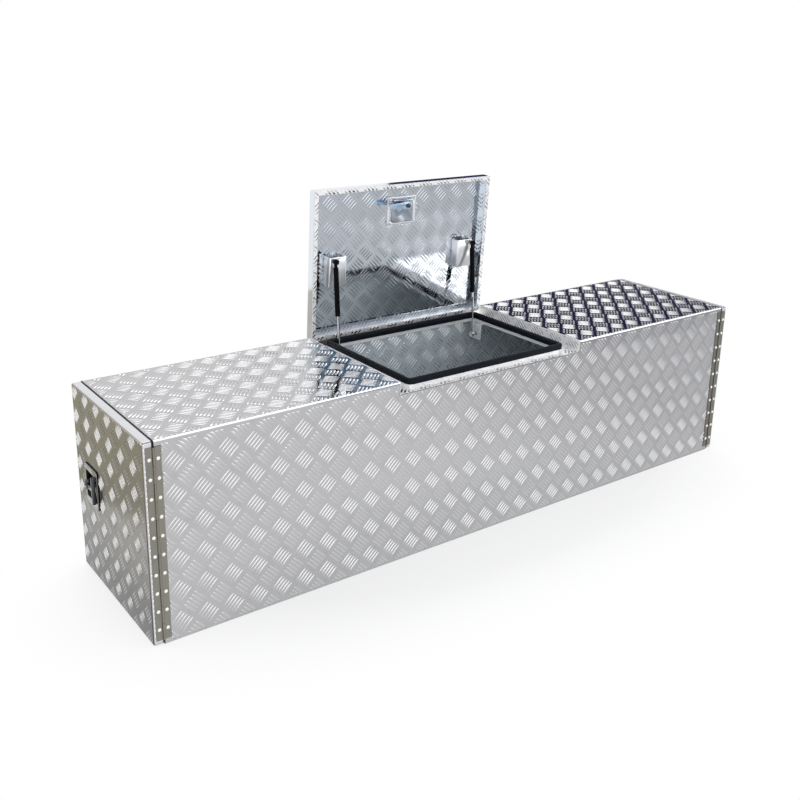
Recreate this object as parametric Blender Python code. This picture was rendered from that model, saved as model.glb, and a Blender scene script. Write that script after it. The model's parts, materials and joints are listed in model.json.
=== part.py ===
"""Full-width trailer tool box of polished tread plate.

A long folded box with a raised top at each end and a recessed lid opening between them. The lid is hinged at the
rear and stands open on two gas struts. A tray door closes each end on a piano hinge at the front corner. The lid
and both doors carry a folding T-handle lock with a turning cam. All sizes are in metres.

The origin is the centre of the underside: X runs along the box, Y from front to rear, Z up.
Pieces on the lid are drawn where the closed lid holds them, and the lid's axis turns them open.
"""

import math

import bmesh
import bpy
from mathutils import Matrix, Vector

# Shell
box_length = 2.0
box_depth = 0.45
box_height = 0.5
sheet = 0.0025
bend_radius = 0.004
seat_gap = 0.0003
cut_overrun = 0.01

# Recess for the lid, between the two raised tops
recess_length = 0.644
ledge_drop = 0.033

# Rubber edge seal and the lip that it grips
seal_width = 0.012
seal_height = 0.027
seal_setback = 0.0225
seal_end_setback = 0.043
seal_outer_leg_lift = 0.010
seal_inner_leg_lift = 0.008
lip_height = 0.019
lip_corner = 0.010
seal_clearance = 0.0015

# Lid
lid_side_gap = 0.008
lid_end_gap = 0.0065
lid_skirt = 0.030
lid_lip = 0.012
lid_lip_corner = 0.003
lid_drop = 0.002
lid_open_degrees = 86.5

# End doors
door_tray_depth = 0.0245
door_line_gap = 0.001
door_floor_gap = 0.002
tray_corner = 0.005

# Piano hinges
leaf_thickness = 0.0015
leaf_width = 0.018
knuckle_radius = 0.0027
pin_radius = 0.0012
pin_bore_radius = 0.00155
knuckle_gap = 0.0006
knuckle_relief = 0.0005
knuckle_tab_share = 0.48
lid_pin_clearance = 0.0005
door_hinge_end_margin = 0.0135
door_hinge_knuckles = 11
lid_hinge_end_margin = 0.028
lid_hinge_knuckles = 13
lid_pin_lift = 0.0105
lid_leaf_hang = 0.0355
lid_leaf_top_margin = 0.0015

# Rivets
rivet_head_radius = 0.0045
rivet_head_height = 0.0025
rivet_pitch = 0.0463
rivet_row_offset = 0.0100
lid_leaf_rivet_lift = 0.0110
lid_body_rivet_hang = 0.0250

# Lock, in its own frame: long side, short side towards the free edge, and outwards
plate_long = 0.103
plate_short = 0.085
plate_corner = 0.008
plate_thickness = 0.0015
gasket_thickness = 0.0015
gasket_margin = 0.001
panel_hole_long = 0.093
panel_hole_short = 0.073
panel_hole_corner = 0.004
pan_long = 0.073
pan_short = 0.070
pan_corner = 0.006
pan_wall = 0.0012
pan_depth = 0.0125
clamp_long = 0.100
clamp_short = 0.081
clamp_thickness = 0.002
clamp_corner = 0.004
stud_spacing_long = 0.0868
stud_spacing_short = 0.0660
stud_radius = 0.0018
stud_hole_radius = 0.0024
nut_radius = 0.0046
nut_height = 0.0042
nut_dome = 0.0026
nut_bore_depth = 0.0040
stud_tail = 0.0034
hub_offset = 0.020
hub_radius = 0.0125
hub_height = 0.0105
hub_shank_radius = 0.006
hub_shank_clearance = 0.0005
square_half = 0.004
square_clearance = 0.0003
tail_nut_radius = 0.0068
tail_nut_height = 0.0035
fold_pin_offset = 0.0065
fold_pin_height = 0.0075
fold_pin_radius = 0.0012
fold_bore_radius = 0.0016
stem_width = 0.0104
stem_thickness = 0.0054
stem_side_clearance = 0.0004
bar_offset = 0.047
bar_length = 0.070
bar_width = 0.011
bar_height = 0.0080
key_offset = 0.0045
key_radius = 0.0050
key_clearance = 0.0003
key_proud = 0.0007
key_depth = 0.006
keyway_length = 0.0064
keyway_width = 0.0015
keyway_depth = 0.002
cam_thickness = 0.003
cam_reach = 0.066
cam_hub_radius = 0.0115
cam_tip_width = 0.014
cam_gap = 0.001
cam_arc_start_degrees = 75
cam_arc_sweep_degrees = 210
lid_lock_from_edge = 0.084
door_lock_from_edge = 0.107
door_lock_lift = 0.0125

# Gas struts, placed from the seal's lip and from the lid's pin
strut_inset = 0.023
strut_foot_ahead = 0.0585
strut_foot_drop = 0.0475
strut_head_ahead = 0.0385
strut_head_rise = 0.2425
strut_tube_radius = 0.0075
strut_tube_length = 0.140
strut_tube_chamfer = 0.0012
strut_bore_radius = 0.0062
strut_bore_end_wall = 0.004
strut_neck_radius = 0.0045
strut_neck_length = 0.008
strut_rod_radius = 0.004
strut_rod_length = 0.164
piston_radius = 0.0058
piston_length = 0.006
ferrule_radius = 0.0055
ferrule_length = 0.022
cup_radius = 0.008
cup_back = 0.0072
cup_rim = 0.0015
cup_bore_radius = 0.0053
head_shank_radius = 0.005
ball_radius = 0.0048
ball_neck_radius = 0.0024
shoulder_radius = 0.0060
shoulder_thickness = 0.003
stud_thread_radius = 0.0028
stud_thread_hole_radius = 0.0034
thread_tail = 0.0055
thread_nut_radius = 0.0056
thread_nut_height = 0.0040

# Strut brackets
bracket_sheet = 0.0025
lid_bracket_overhang = 0.012
lid_bracket_width = 0.059
lid_bracket_length = 0.085
lid_bracket_standoff = 0.028
lid_bracket_front_reach = 0.0085
foot_plate_offset = 0.0125
foot_flange = 0.030
foot_bracket_depth = 0.050
foot_bracket_below = 0.018

# Faceting
round_sides = 12
knuckle_sides = 8
rivet_sides = 8
hex_sides = 6
corner_steps = 2
ball_steps = 6
cam_arc_steps = 8
sharp_edge_degrees = 35

# Worked out from the sizes above
half_length = box_length / 2
half_depth = box_depth / 2
door_line = half_length - door_tray_depth
shell_end = door_line - door_line_gap
ledge_top = box_height - ledge_drop
ledge_bottom = ledge_top - sheet
recess_half = recess_length / 2
inner_half_depth = half_depth - sheet - seat_gap
lid_top = box_height - lid_drop
lid_width = recess_length - 2 * lid_side_gap
lid_depth = box_depth - 2 * lid_end_gap
seal_half_width = seal_width / 2
opening_mid_x = recess_half - seal_end_setback - seal_half_width
opening_mid_y = half_depth - seal_setback - seal_half_width
door_opening_mid_z = box_height / 2 - seal_setback - seal_half_width
frame_face = half_length - sheet - seal_clearance - seal_height
latch_depth = sheet + seal_clearance + seal_height + sheet
along_x = Vector((1, 0, 0))
along_y = Vector((0, 1, 0))
along_z = Vector((0, 0, 1))
no_shift = Vector((0, 0, 0))
lid_pin = Vector((0, half_depth + seat_gap + knuckle_radius + lid_pin_clearance, ledge_top + lid_pin_lift))
door_pin = Vector((-door_line, -(half_depth + seat_gap + knuckle_radius), box_height / 2))
strut_spread = opening_mid_x - strut_inset
strut_foot = Vector((strut_spread, lid_pin.y - strut_foot_ahead, lid_pin.z - strut_foot_drop))
strut_head = Vector((strut_spread, lid_pin.y - strut_head_ahead, lid_pin.z + strut_head_rise))
strut_open = (strut_head - strut_foot).length
strut_direction = (strut_head - strut_foot).normalized()

# Heights in a lock's own frame, worked out from the sizes above
gasket_low = seat_gap
gasket_high = gasket_low + gasket_thickness
plate_low = gasket_high + seat_gap
plate_high = plate_low + plate_thickness
clamp_high = -sheet - seat_gap
clamp_low = clamp_high - clamp_thickness
nut_face = clamp_low - seat_gap
hub_low = -pan_depth + pan_wall + seat_gap
cam_high = -latch_depth - cam_gap
cam_low = cam_high - cam_thickness
tail_nut_face = cam_low - seat_gap
stud_places = [(a * stud_spacing_long / 2, b * stud_spacing_short / 2) for a in (-1, 1) for b in (-1, 1)]


# Finishes
def finish(name, colour, roughness, metallic):
    """A plain Principled material."""
    made = bpy.data.materials.new(name)
    made.use_nodes = True
    shader = made.node_tree.nodes["Principled BSDF"]
    shader.inputs["Base Color"].default_value = (*colour, 1)
    shader.inputs["Roughness"].default_value = roughness
    shader.inputs["Metallic"].default_value = metallic
    made.diffuse_color = (*colour, 1)
    return made


finish_values = {
    "tread_plate": ((0.72, 0.73, 0.74), 0.22, 1),
    "plain_aluminium": ((0.62, 0.62, 0.62), 0.38, 1),
    "seal_rubber": ((0.015, 0.016, 0.018), 0.6, 0),
    "pin_steel": ((0.45, 0.45, 0.46), 0.35, 1),
    "lock_steel": ((0.68, 0.69, 0.70), 0.22, 1),
    "handle_chrome": ((0.42, 0.43, 0.45), 0.18, 1),
    "zinc_steel": ((0.50, 0.58, 0.68), 0.35, 1),
    "strut_black": ((0.012, 0.012, 0.013), 0.35, 0),
    "strut_rod_steel": ((0.75, 0.76, 0.77), 0.15, 1),
    "bracket_aluminium": ((0.74, 0.75, 0.76), 0.30, 1),
}


# Basic solids
def frame_at(origin, long_side, short_side):
    """A matrix that carries a piece drawn in its own frame to its place."""
    outward = long_side.cross(short_side)
    place = Matrix((long_side, short_side, outward)).transposed().to_4x4()
    place.translation = origin
    return place


def object_from(mesh_in_progress, place):
    """Turns a bmesh into an object, with its faces pointing out."""
    bmesh.ops.transform(mesh_in_progress, matrix=place, verts=mesh_in_progress.verts)
    bmesh.ops.recalc_face_normals(mesh_in_progress, faces=mesh_in_progress.faces)
    mesh = bpy.data.meshes.new("solid")
    mesh_in_progress.to_mesh(mesh)
    mesh_in_progress.free()
    made = bpy.data.objects.new("solid", mesh)
    bpy.context.scene.collection.objects.link(made)
    return made


def loft(layers, place):
    """A closed solid through layers, each a list of points in the same order."""
    work = bmesh.new()
    rings = [[work.verts.new(point) for point in layer] for layer in layers]
    count = len(rings[0])
    for low, high in zip(rings, rings[1:]):
        for i in range(count):
            j = (i + 1) % count
            work.faces.new((low[i], low[j], high[j], high[i]))
    work.faces.new(rings[0])
    work.faces.new(rings[-1])
    return object_from(work, place)


def prism(outline, low, high, place):
    """An outline in the frame's first two axes, between two heights on the third."""
    return loft([[(a, b, height) for a, b in outline] for height in (low, high)], place)


def ring_of(section_rings, place):
    """A closed ring through matching section points, one list for each point of the section."""
    work = bmesh.new()
    rings = [[work.verts.new(point) for point in ring] for ring in section_rings]
    count = len(rings[0])
    for k, ring in enumerate(rings):
        following = rings[(k + 1) % len(rings)]
        for i in range(count):
            j = (i + 1) % count
            work.faces.new((ring[i], ring[j], following[j], following[i]))
    return object_from(work, place)


def rectangle(half_a, half_b):
    """The outline of a plain rectangle about the frame's origin."""
    return [(half_a, -half_b), (half_a, half_b), (-half_a, half_b), (-half_a, -half_b)]


def rounded_rectangle(half_a, half_b, radius, steps=corner_steps):
    """The outline of a rectangle with round corners."""
    corners = ((1, 1, 0), (-1, 1, 1), (-1, -1, 2), (1, -1, 3))
    outline = []
    for sign_a, sign_b, quarter in corners:
        for k in range(steps + 1):
            angle = math.radians(90) * (quarter + k / steps)
            centre_a = sign_a * (half_a - radius)
            centre_b = sign_b * (half_b - radius)
            outline.append((centre_a + radius * math.cos(angle), centre_b + radius * math.sin(angle)))
    return outline


def circle(radius, sides=round_sides, centre=(0, 0)):
    """A regular polygon that stands for a circle."""
    turn = math.tau / sides
    return [(centre[0] + radius * math.cos(turn * (k + 0.5)), centre[1] + radius * math.sin(turn * (k + 0.5)))
            for k in range(sides)]


def ring_prism(outer, inner, low, high, place):
    """A flat ring between two outlines that have the same number of points."""
    section = [(outer, low), (outer, high), (inner, high), (inner, low)]
    return ring_of([[(a, b, height) for a, b in outline] for outline, height in section], place)


def box(low, high):
    """A plain block between two corners."""
    outline = [(low[0], low[1]), (high[0], low[1]), (high[0], high[1]), (low[0], high[1])]
    return prism(outline, low[2], high[2], Matrix.Identity(4))


def turned(profile, place, sides=round_sides):
    """A solid of revolution about the frame's third axis, from a profile that starts and ends on the axis."""
    work = bmesh.new()
    rings = []
    for radius, height in profile:
        if radius == 0:
            rings.append([work.verts.new((0, 0, height))])
        else:
            rings.append([work.verts.new((a, b, height)) for a, b in circle(radius, sides)])
    for low, high in zip(rings, rings[1:]):
        for i in range(sides):
            j = (i + 1) % sides
            if len(low) == 1:
                work.faces.new((low[0], high[j], high[i]))
            elif len(high) == 1:
                work.faces.new((low[i], low[j], high[0]))
            else:
                work.faces.new((low[i], low[j], high[j], high[i]))
    return object_from(work, place)


def folded_outline(path, thickness, radius, steps=corner_steps):
    """The section of a sheet folded at right angles, all the same way, from the path of its outer side."""
    points = [Vector(point) for point in path]
    ways = [(end - start).normalized() for start, end in zip(points, points[1:])]
    outer = [points[0]]
    inner = [points[0] + ways[1] * thickness]
    for corner, way_in, way_out in zip(points[1:-1], ways, ways[1:]):
        centre = corner + (way_out - way_in) * radius
        for k in range(steps + 1):
            angle = math.radians(90) * k / steps
            spoke = way_in * math.sin(angle) - way_out * math.cos(angle)
            outer.append(centre + spoke * radius)
            inner.append(centre + spoke * (radius - thickness))
    outer.append(points[-1])
    inner.append(points[-1] - ways[-2] * thickness)
    return [tuple(point) for point in outer + inner[::-1]]


# Joining and cutting
def combined(target, tools, operation):
    """Joins the tools to the target, or cuts them out of it, and leaves one plain mesh."""
    for tool in tools:
        change = target.modifiers.new(operation.lower(), "BOOLEAN")
        change.operation = operation
        change.solver = "EXACT"
        change.object = tool
    evaluated = target.evaluated_get(bpy.context.evaluated_depsgraph_get())
    mesh = bpy.data.meshes.new_from_object(evaluated)
    target.modifiers.clear()
    target.data = mesh
    for tool in tools:
        bpy.data.objects.remove(tool)
    return target


def cut(target, *tools):
    return combined(target, tools, "DIFFERENCE")


def join(target, *tools):
    return combined(target, tools, "UNION")


def grouped(shapes):
    """Several separate solids in one object."""
    work = bmesh.new()
    for shape in shapes:
        work.from_mesh(shape.data)
        bpy.data.objects.remove(shape)
    return object_from(work, Matrix.Identity(4))


def mirrored(shape):
    """A copy of a solid on the other side of the box's middle."""
    work = bmesh.new()
    work.from_mesh(shape.data)
    return object_from(work, Matrix.Diagonal((-1, 1, 1, 1)))


# Nodes and the axes that carry them
finishes = {}
carriers = {}


def carrier(name, point, on=None):
    """An empty on a joint's axis, which carries the pieces that move about it."""
    empty = bpy.data.objects.new(name, None)
    bpy.context.scene.collection.objects.link(empty)
    empty.location = point
    carriers[name] = (empty, Vector(point))
    if on:
        hang(empty, on)
    return empty


def hang(made, carrier_name):
    """Parents an object to a carrier, and leaves it where it was drawn."""
    empty, point = carriers[carrier_name]
    made.parent = empty
    made.matrix_parent_inverse = Matrix.Translation(-point)


def node(name, shape, finish_name, on=None):
    """Names a finished solid, and gives it its material and its carrier."""
    shape.name = name
    shape.data.name = name
    shape.data.materials.clear()
    shape.data.materials.append(finishes[finish_name])
    shape.data.shade_smooth()
    shape.data.set_sharp_from_angle(angle=math.radians(sharp_edge_degrees))
    if on:
        hang(shape, on)
    return shape


def side_carrier(side, name):
    """The side's own axis of that name, or else the one that both sides share."""
    return side + name if name and side + name in carriers else name


def both_sides(name, shape, finish_name, on=None, drawn="left_"):
    """The piece as drawn on one side, and its mirror image on the other."""
    opposite = "right_" if drawn == "left_" else "left_"
    other = mirrored(shape)
    node(drawn + name, shape, finish_name, side_carrier(drawn, on))
    node(opposite + name, other, finish_name, side_carrier(opposite, on))


# Shell
def recess_cutter():
    return box((-recess_half, -half_depth - cut_overrun, ledge_top),
               (recess_half, half_depth + cut_overrun, box_height + cut_overrun))


def end_view():
    """A frame whose outlines lie across the box, so that a prism runs along it."""
    return frame_at(no_shift, along_y, along_z)


def front_view():
    """A frame whose outlines lie along the box, so that a prism runs from rear to front."""
    return frame_at(no_shift, along_x, along_z)


def make_front_top_sheet():
    """Front and raised tops, folded from one sheet, with the recess cut out."""
    path = ((-half_depth, 0), (-half_depth, box_height), (half_depth, box_height))
    shape = prism(folded_outline(path, sheet, bend_radius), -shell_end, shell_end, end_view())
    node("front_top_sheet", cut(shape, recess_cutter()), "tread_plate")


def make_rear_floor_sheet():
    """Floor and rear, folded from one sheet, set inside the front and under the raised tops."""
    path = ((-inner_half_depth, 0), (half_depth, 0), (half_depth, box_height - sheet - seat_gap))
    shape = prism(folded_outline(path, sheet, bend_radius), -shell_end, shell_end, end_view())
    node("rear_floor_sheet", cut(shape, recess_cutter()), "tread_plate")


def lip_block(mid_a, mid_b, low, high, place):
    half = sheet / 2
    outline = rounded_rectangle(mid_a + half, mid_b + half, lip_corner + half)
    return prism(outline, low, high, place)


def lip_cutter(mid_a, mid_b, low, high, place):
    half = sheet / 2
    outline = rounded_rectangle(mid_a - half, mid_b - half, lip_corner - half)
    return prism(outline, low, high, place)


def with_lipped_opening(shape, mid_a, mid_b, place):
    """Cuts an opening in a sheet and stands a welded lip round it. The sheet's face is at height zero."""
    lip = lip_block(mid_a, mid_b, -sheet / 2, lip_height, place)
    opening = lip_cutter(mid_a, mid_b, -sheet - cut_overrun, lip_height + cut_overrun, place)
    return cut(join(shape, lip), opening)


def make_opening_pan():
    """The ledge with its two side walls, folded from one sheet and welded into the recess."""
    half = recess_half - seat_gap
    path = ((-half, box_height), (-half, ledge_bottom), (half, ledge_bottom), (half, box_height))
    shape = prism(folded_outline(path, sheet, bend_radius), -inner_half_depth, inner_half_depth, front_view())
    place = frame_at(Vector((0, 0, ledge_top)), along_x, along_y)
    node("opening_pan", with_lipped_opening(shape, opening_mid_x, opening_mid_y, place), "tread_plate")


def end_frame_place():
    """The left end frame's own frame: across the box, up, and out of the end."""
    centre = Vector((-frame_face, 0, box_height / 2))
    return frame_at(centre, along_z, along_y)


def make_end_frames():
    """The welded jamb behind each door, with the lip that carries the door's seal."""
    half_z = box_height / 2 - sheet - seat_gap
    outline = rounded_rectangle(half_z, inner_half_depth, bend_radius)
    shape = prism(outline, -sheet, 0, end_frame_place())
    shape = with_lipped_opening(shape, door_opening_mid_z, opening_mid_y, end_frame_place())
    both_sides("end_frame", shape, "plain_aluminium")


def seal_ring(mid_a, mid_b, place):
    """The edge seal: two legs that grip the lip's upper part, with a bulb on top."""
    grip = sheet / 2 + seat_gap
    bulb_low_share = 0.60
    bulb_side_share = 0.80
    bulb_shoulder_share = 0.955
    waist_share = 0.50
    waist_width_share = 0.86
    shoulder_width_share = 0.66
    groove_top = lip_height + seat_gap
    waist = seal_half_width * waist_width_share
    shoulder = seal_half_width * shoulder_width_share
    section = (
        (grip, seal_outer_leg_lift),
        (seal_half_width, seal_outer_leg_lift),
        (waist, seal_height * waist_share),
        (seal_half_width, seal_height * bulb_low_share),
        (seal_half_width, seal_height * bulb_side_share),
        (shoulder, seal_height * bulb_shoulder_share),
        (0, seal_height),
        (-shoulder, seal_height * bulb_shoulder_share),
        (-seal_half_width, seal_height * bulb_side_share),
        (-seal_half_width, seal_height * bulb_low_share),
        (-waist, seal_height * waist_share),
        (-waist, seal_inner_leg_lift),
        (-grip, seal_inner_leg_lift),
        (-grip, groove_top),
        (grip, groove_top),
    )
    rings = []
    for out, height in section:
        outline = rounded_rectangle(mid_a + out, mid_b + out, lip_corner + out)
        rings.append([(a, b, height) for a, b in outline])
    return ring_of(rings, place)


def make_seals():
    place = frame_at(Vector((0, 0, ledge_top)), along_x, along_y)
    node("lid_seal", seal_ring(opening_mid_x, opening_mid_y, place), "seal_rubber")
    both_sides("door_seal", seal_ring(door_opening_mid_z, opening_mid_y, end_frame_place()), "seal_rubber")


# Trays: the lid and the two doors
def tray(half_a, half_b, depth, place):
    """A shallow folded tray, its outer face at height zero and its skirt going in."""
    layers = []
    rounding = [(0, -depth)]
    for k in range(corner_steps + 1):
        angle = math.radians(90) * k / corner_steps
        rounding.append((bend_radius * (1 - math.cos(angle)), -bend_radius * (1 - math.sin(angle))))
    for inset, height in rounding:
        outline = rounded_rectangle(half_a - inset, half_b - inset, tray_corner - inset)
        layers.append([(a, b, height) for a, b in outline])
    shape = loft(layers, place)
    cavity_outline = rounded_rectangle(half_a - sheet, half_b - sheet, tray_corner - sheet)
    return cut(shape, prism(cavity_outline, -depth - cut_overrun, -sheet, place))


def with_lock_hole(shape, place):
    outline = rounded_rectangle(panel_hole_long / 2, panel_hole_short / 2, panel_hole_corner)
    return cut(shape, prism(outline, -sheet - cut_overrun, cut_overrun, place))


def make_doors():
    half_z = (box_height - door_floor_gap) / 2
    centre = Vector((-half_length, 0, box_height - half_z))
    shape = tray(half_z, half_depth, door_tray_depth - door_line_gap, frame_at(centre, along_z, along_y))
    both_sides("door", with_lock_hole(shape, door_lock_place()), "tread_plate", "door_axis")


def make_lid():
    """The lid's folded tray, its skirt turned inwards to a flat lip all round."""
    place = frame_at(Vector((0, 0, lid_top)), along_x, along_y)
    shape = tray(lid_width / 2, lid_depth / 2, lid_skirt, place)
    lip_outer = rounded_rectangle((lid_width - sheet) / 2, (lid_depth - sheet) / 2, tray_corner - sheet / 2)
    lip_inner = rounded_rectangle(lid_width / 2 - lid_lip, lid_depth / 2 - lid_lip, lid_lip_corner)
    shape = join(shape, ring_prism(lip_outer, lip_inner, -lid_skirt, sheet - lid_skirt, place))
    node("lid", with_lock_hole(shape, lid_lock_place()), "tread_plate", "lid_axis")


# Piano hinges
def knuckle_spans(length, count):
    """Where each knuckle starts and ends along the hinge."""
    pitch = length / count
    half_gap = knuckle_gap / 2
    return [(-length / 2 + k * pitch + half_gap, -length / 2 + (k + 1) * pitch - half_gap) for k in range(count)]


def comb_outline(length, count, first, reach):
    """A leaf's flat outline, with a tab at each of its own knuckles and a relief at each of the other leaf's."""
    tab = knuckle_radius * knuckle_tab_share
    relief = knuckle_radius + knuckle_relief
    outline = [(reach, length / 2), (reach, -length / 2)]
    edge = []
    for k, (start, end) in enumerate(knuckle_spans(length, count)):
        if k % 2 == first:
            edge += [(relief, start), (tab, start), (tab, end), (relief, end)]
    if first == 0:
        edge = edge[1:-1]
        edge[0] = (tab, -length / 2)
        edge[-1] = (tab, length / 2)
    else:
        edge = [(relief, -length / 2)] + edge + [(relief, length / 2)]
    return outline + edge


def hinge_leaf(length, count, first, reach, low, high, place):
    """A leaf in the hinge's frame: first axis along the plate, second along the pin, third off the panel."""
    shape = prism(comb_outline(length, count, first, reach), low, high, place)
    across_pin = place @ frame_at(no_shift, along_z, along_x)
    barrels = []
    for k, (start, end) in enumerate(knuckle_spans(length, count)):
        if k % 2 == first:
            if k == 0:
                start = -length / 2
            if k == count - 1:
                end = length / 2
            barrels.append(prism(circle(knuckle_radius, knuckle_sides), start, end, across_pin))
    half_run = length / 2 + cut_overrun
    bore = prism(circle(pin_bore_radius, knuckle_sides), -half_run, half_run, across_pin)
    return cut(join(shape, grouped(barrels)), bore)


def hinge_pin(length, place):
    across_pin = place @ frame_at(no_shift, along_z, along_x)
    return prism(circle(pin_radius, knuckle_sides), -length / 2, length / 2, across_pin)


def rivet_head(point, outward):
    """One domed rivet head on a leaf's face, rooted in the leaf."""
    sideways = along_z if abs(outward.z) < abs(outward.x) + abs(outward.y) else along_x
    place = frame_at(point, sideways, outward.cross(sideways))
    mid_radius_share = 0.80
    mid_height_share = 0.60
    crown_radius_share = 0.38
    profile = (
        (0, -leaf_thickness / 2),
        (rivet_head_radius, -leaf_thickness / 2),
        (rivet_head_radius * mid_radius_share, rivet_head_height * mid_height_share),
        (rivet_head_radius * crown_radius_share, rivet_head_height),
        (0, rivet_head_height),
    )
    return turned(profile, place, rivet_sides)


def with_rivets(leaf, length, centre, along, outward):
    """Joins a row of rivet heads to a leaf of that length, evenly spaced about the row's centre."""
    count = int(length / rivet_pitch)
    first = -(count - 1) / 2
    heads = [rivet_head(centre + along * rivet_pitch * (first + k), outward) for k in range(count)]
    return join(leaf, grouped(heads))


def make_door_hinges():
    """The left door's hinge. Both leaves lie on the front, with the pin over the line between door and body."""
    length = box_height - 2 * door_hinge_end_margin
    low = knuckle_radius - leaf_thickness
    face = door_pin.y + low
    along_door = frame_at(door_pin, -along_x, along_z)
    along_body = frame_at(door_pin, along_x, along_z)
    door_leaf = hinge_leaf(length, door_hinge_knuckles, 1, leaf_width, low, knuckle_radius, along_door)
    body_leaf = hinge_leaf(length, door_hinge_knuckles, 0, leaf_width, -knuckle_radius, -low, along_body)
    row_on_door = Vector((door_pin.x - rivet_row_offset, face, door_pin.z))
    row_on_body = Vector((door_pin.x + rivet_row_offset, face, door_pin.z))
    door_leaf = with_rivets(door_leaf, length, row_on_door, along_z, -along_y)
    body_leaf = with_rivets(body_leaf, length, row_on_body, along_z, -along_y)
    both_sides("hinge_door_leaf", door_leaf, "plain_aluminium", "door_axis")
    both_sides("hinge_body_leaf", body_leaf, "plain_aluminium")
    both_sides("hinge_pin", hinge_pin(length, along_door), "pin_steel")


def make_lid_hinge():
    """The lid's hinge: a flat leaf down the rear, and a cranked leaf that reaches the lid's rear skirt."""
    length = lid_width - 2 * lid_hinge_end_margin
    half_leaf = leaf_thickness / 2
    down_rear = frame_at(lid_pin, -along_z, -along_x)
    low = half_depth + seat_gap - lid_pin.y
    body_leaf = hinge_leaf(length, lid_hinge_knuckles, 0, lid_leaf_hang, low, low + leaf_thickness, down_rear)
    body_row = Vector((0, lid_pin.y + low + leaf_thickness, lid_pin.z - lid_body_rivet_hang))
    body_leaf = with_rivets(body_leaf, length, body_row, along_x, along_y)
    node("lid_hinge_body_leaf", body_leaf, "plain_aluminium")
    node("lid_hinge_pin", hinge_pin(length, down_rear), "pin_steel")

    leg_inner = lid_depth / 2 + seat_gap
    leg_face = leg_inner + leaf_thickness
    forward = frame_at(lid_pin, -along_y, along_x)
    lid_leaf = hinge_leaf(length, lid_hinge_knuckles, 1, lid_pin.y - leg_inner, -half_leaf, half_leaf, forward)
    upright = box((-length / 2, leg_inner, lid_pin.z - half_leaf),
                  (length / 2, leg_face, lid_top - lid_leaf_top_margin))
    lid_row = Vector((0, leg_face, lid_pin.z + lid_leaf_rivet_lift))
    lid_leaf = with_rivets(join(lid_leaf, upright), length, lid_row, along_x, along_y)
    node("lid_hinge_lid_leaf", lid_leaf, "plain_aluminium", "lid_axis")


# Locks
def lid_lock_place():
    """The lid lock's frame: long side along the lid, short side towards the lid's front edge."""
    centre = Vector((0, -lid_depth / 2 + lid_lock_from_edge, lid_top))
    return frame_at(centre, -along_x, -along_y)


def door_lock_place():
    """The left door lock's frame: long side up, short side towards the door's rear edge."""
    centre = Vector((-half_length, half_depth - door_lock_from_edge, box_height / 2 + door_lock_lift))
    return frame_at(centre, along_z, along_y)


def lock_dish(place):
    """The plate with its pressed pan, the hole for the hub's shank and four welded studs."""
    plate = prism(rounded_rectangle(plate_long / 2, plate_short / 2, plate_corner), plate_low, plate_high, place)
    pan = prism(rounded_rectangle(pan_long / 2, pan_short / 2, pan_corner), -pan_depth,
                (plate_low + plate_high) / 2, place)
    studs = [prism(circle(stud_radius, hex_sides, centre), nut_face - stud_tail, (plate_low + plate_high) / 2, place)
             for centre in stud_places]
    hollow = prism(rounded_rectangle(pan_long / 2 - pan_wall, pan_short / 2 - pan_wall, pan_corner - pan_wall),
                   -pan_depth + pan_wall, plate_high + cut_overrun, place)
    shank_hole = prism(circle(hub_shank_radius + hub_shank_clearance, round_sides, (0, hub_offset)),
                       -pan_depth - cut_overrun, 0, place)
    return cut(join(plate, pan, *studs), hollow, shank_hole)


def lock_gasket(place):
    outer = rounded_rectangle(plate_long / 2 + gasket_margin, plate_short / 2 + gasket_margin,
                              plate_corner + gasket_margin)
    inner = rounded_rectangle(panel_hole_long / 2, panel_hole_short / 2, panel_hole_corner)
    return ring_prism(outer, inner, gasket_low, gasket_high, place)


def lock_clamp(place, nuts_on):
    """The frame that clamps the dish to the panel from inside, on the doors as one piece with its domed nuts."""
    outer = rounded_rectangle(clamp_long / 2, clamp_short / 2, clamp_corner)
    inner = rounded_rectangle(pan_long / 2 + seat_gap, pan_short / 2 + seat_gap, pan_corner + seat_gap)
    ring = ring_prism(outer, inner, clamp_low, clamp_high, place)
    if nuts_on:
        root = (clamp_low + clamp_high) / 2
        ring = join(ring, grouped([domed_nut(centre, root, place) for centre in stud_places]))
    return cut(ring, grouped([stud_bore(centre, place) for centre in stud_places]))


def domed_nut(centre, face, place):
    """One domed nut, not yet bored, whose seat is at the given height."""
    crown_share = 0.55
    profile = (
        (0, face),
        (nut_radius, face),
        (nut_radius, nut_face - nut_height),
        (nut_radius * crown_share, nut_face - nut_height - nut_dome),
        (0, nut_face - nut_height - nut_dome),
    )
    return turned(profile, place @ Matrix.Translation((*centre, 0)), hex_sides)


def stud_bore(centre, place):
    """The hole through the clamp, which ends blind inside the nut."""
    return prism(circle(stud_hole_radius, hex_sides, centre), nut_face - nut_bore_depth, 0, place)


def hub_frame(place):
    return place @ Matrix.Translation((0, hub_offset, 0))


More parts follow.
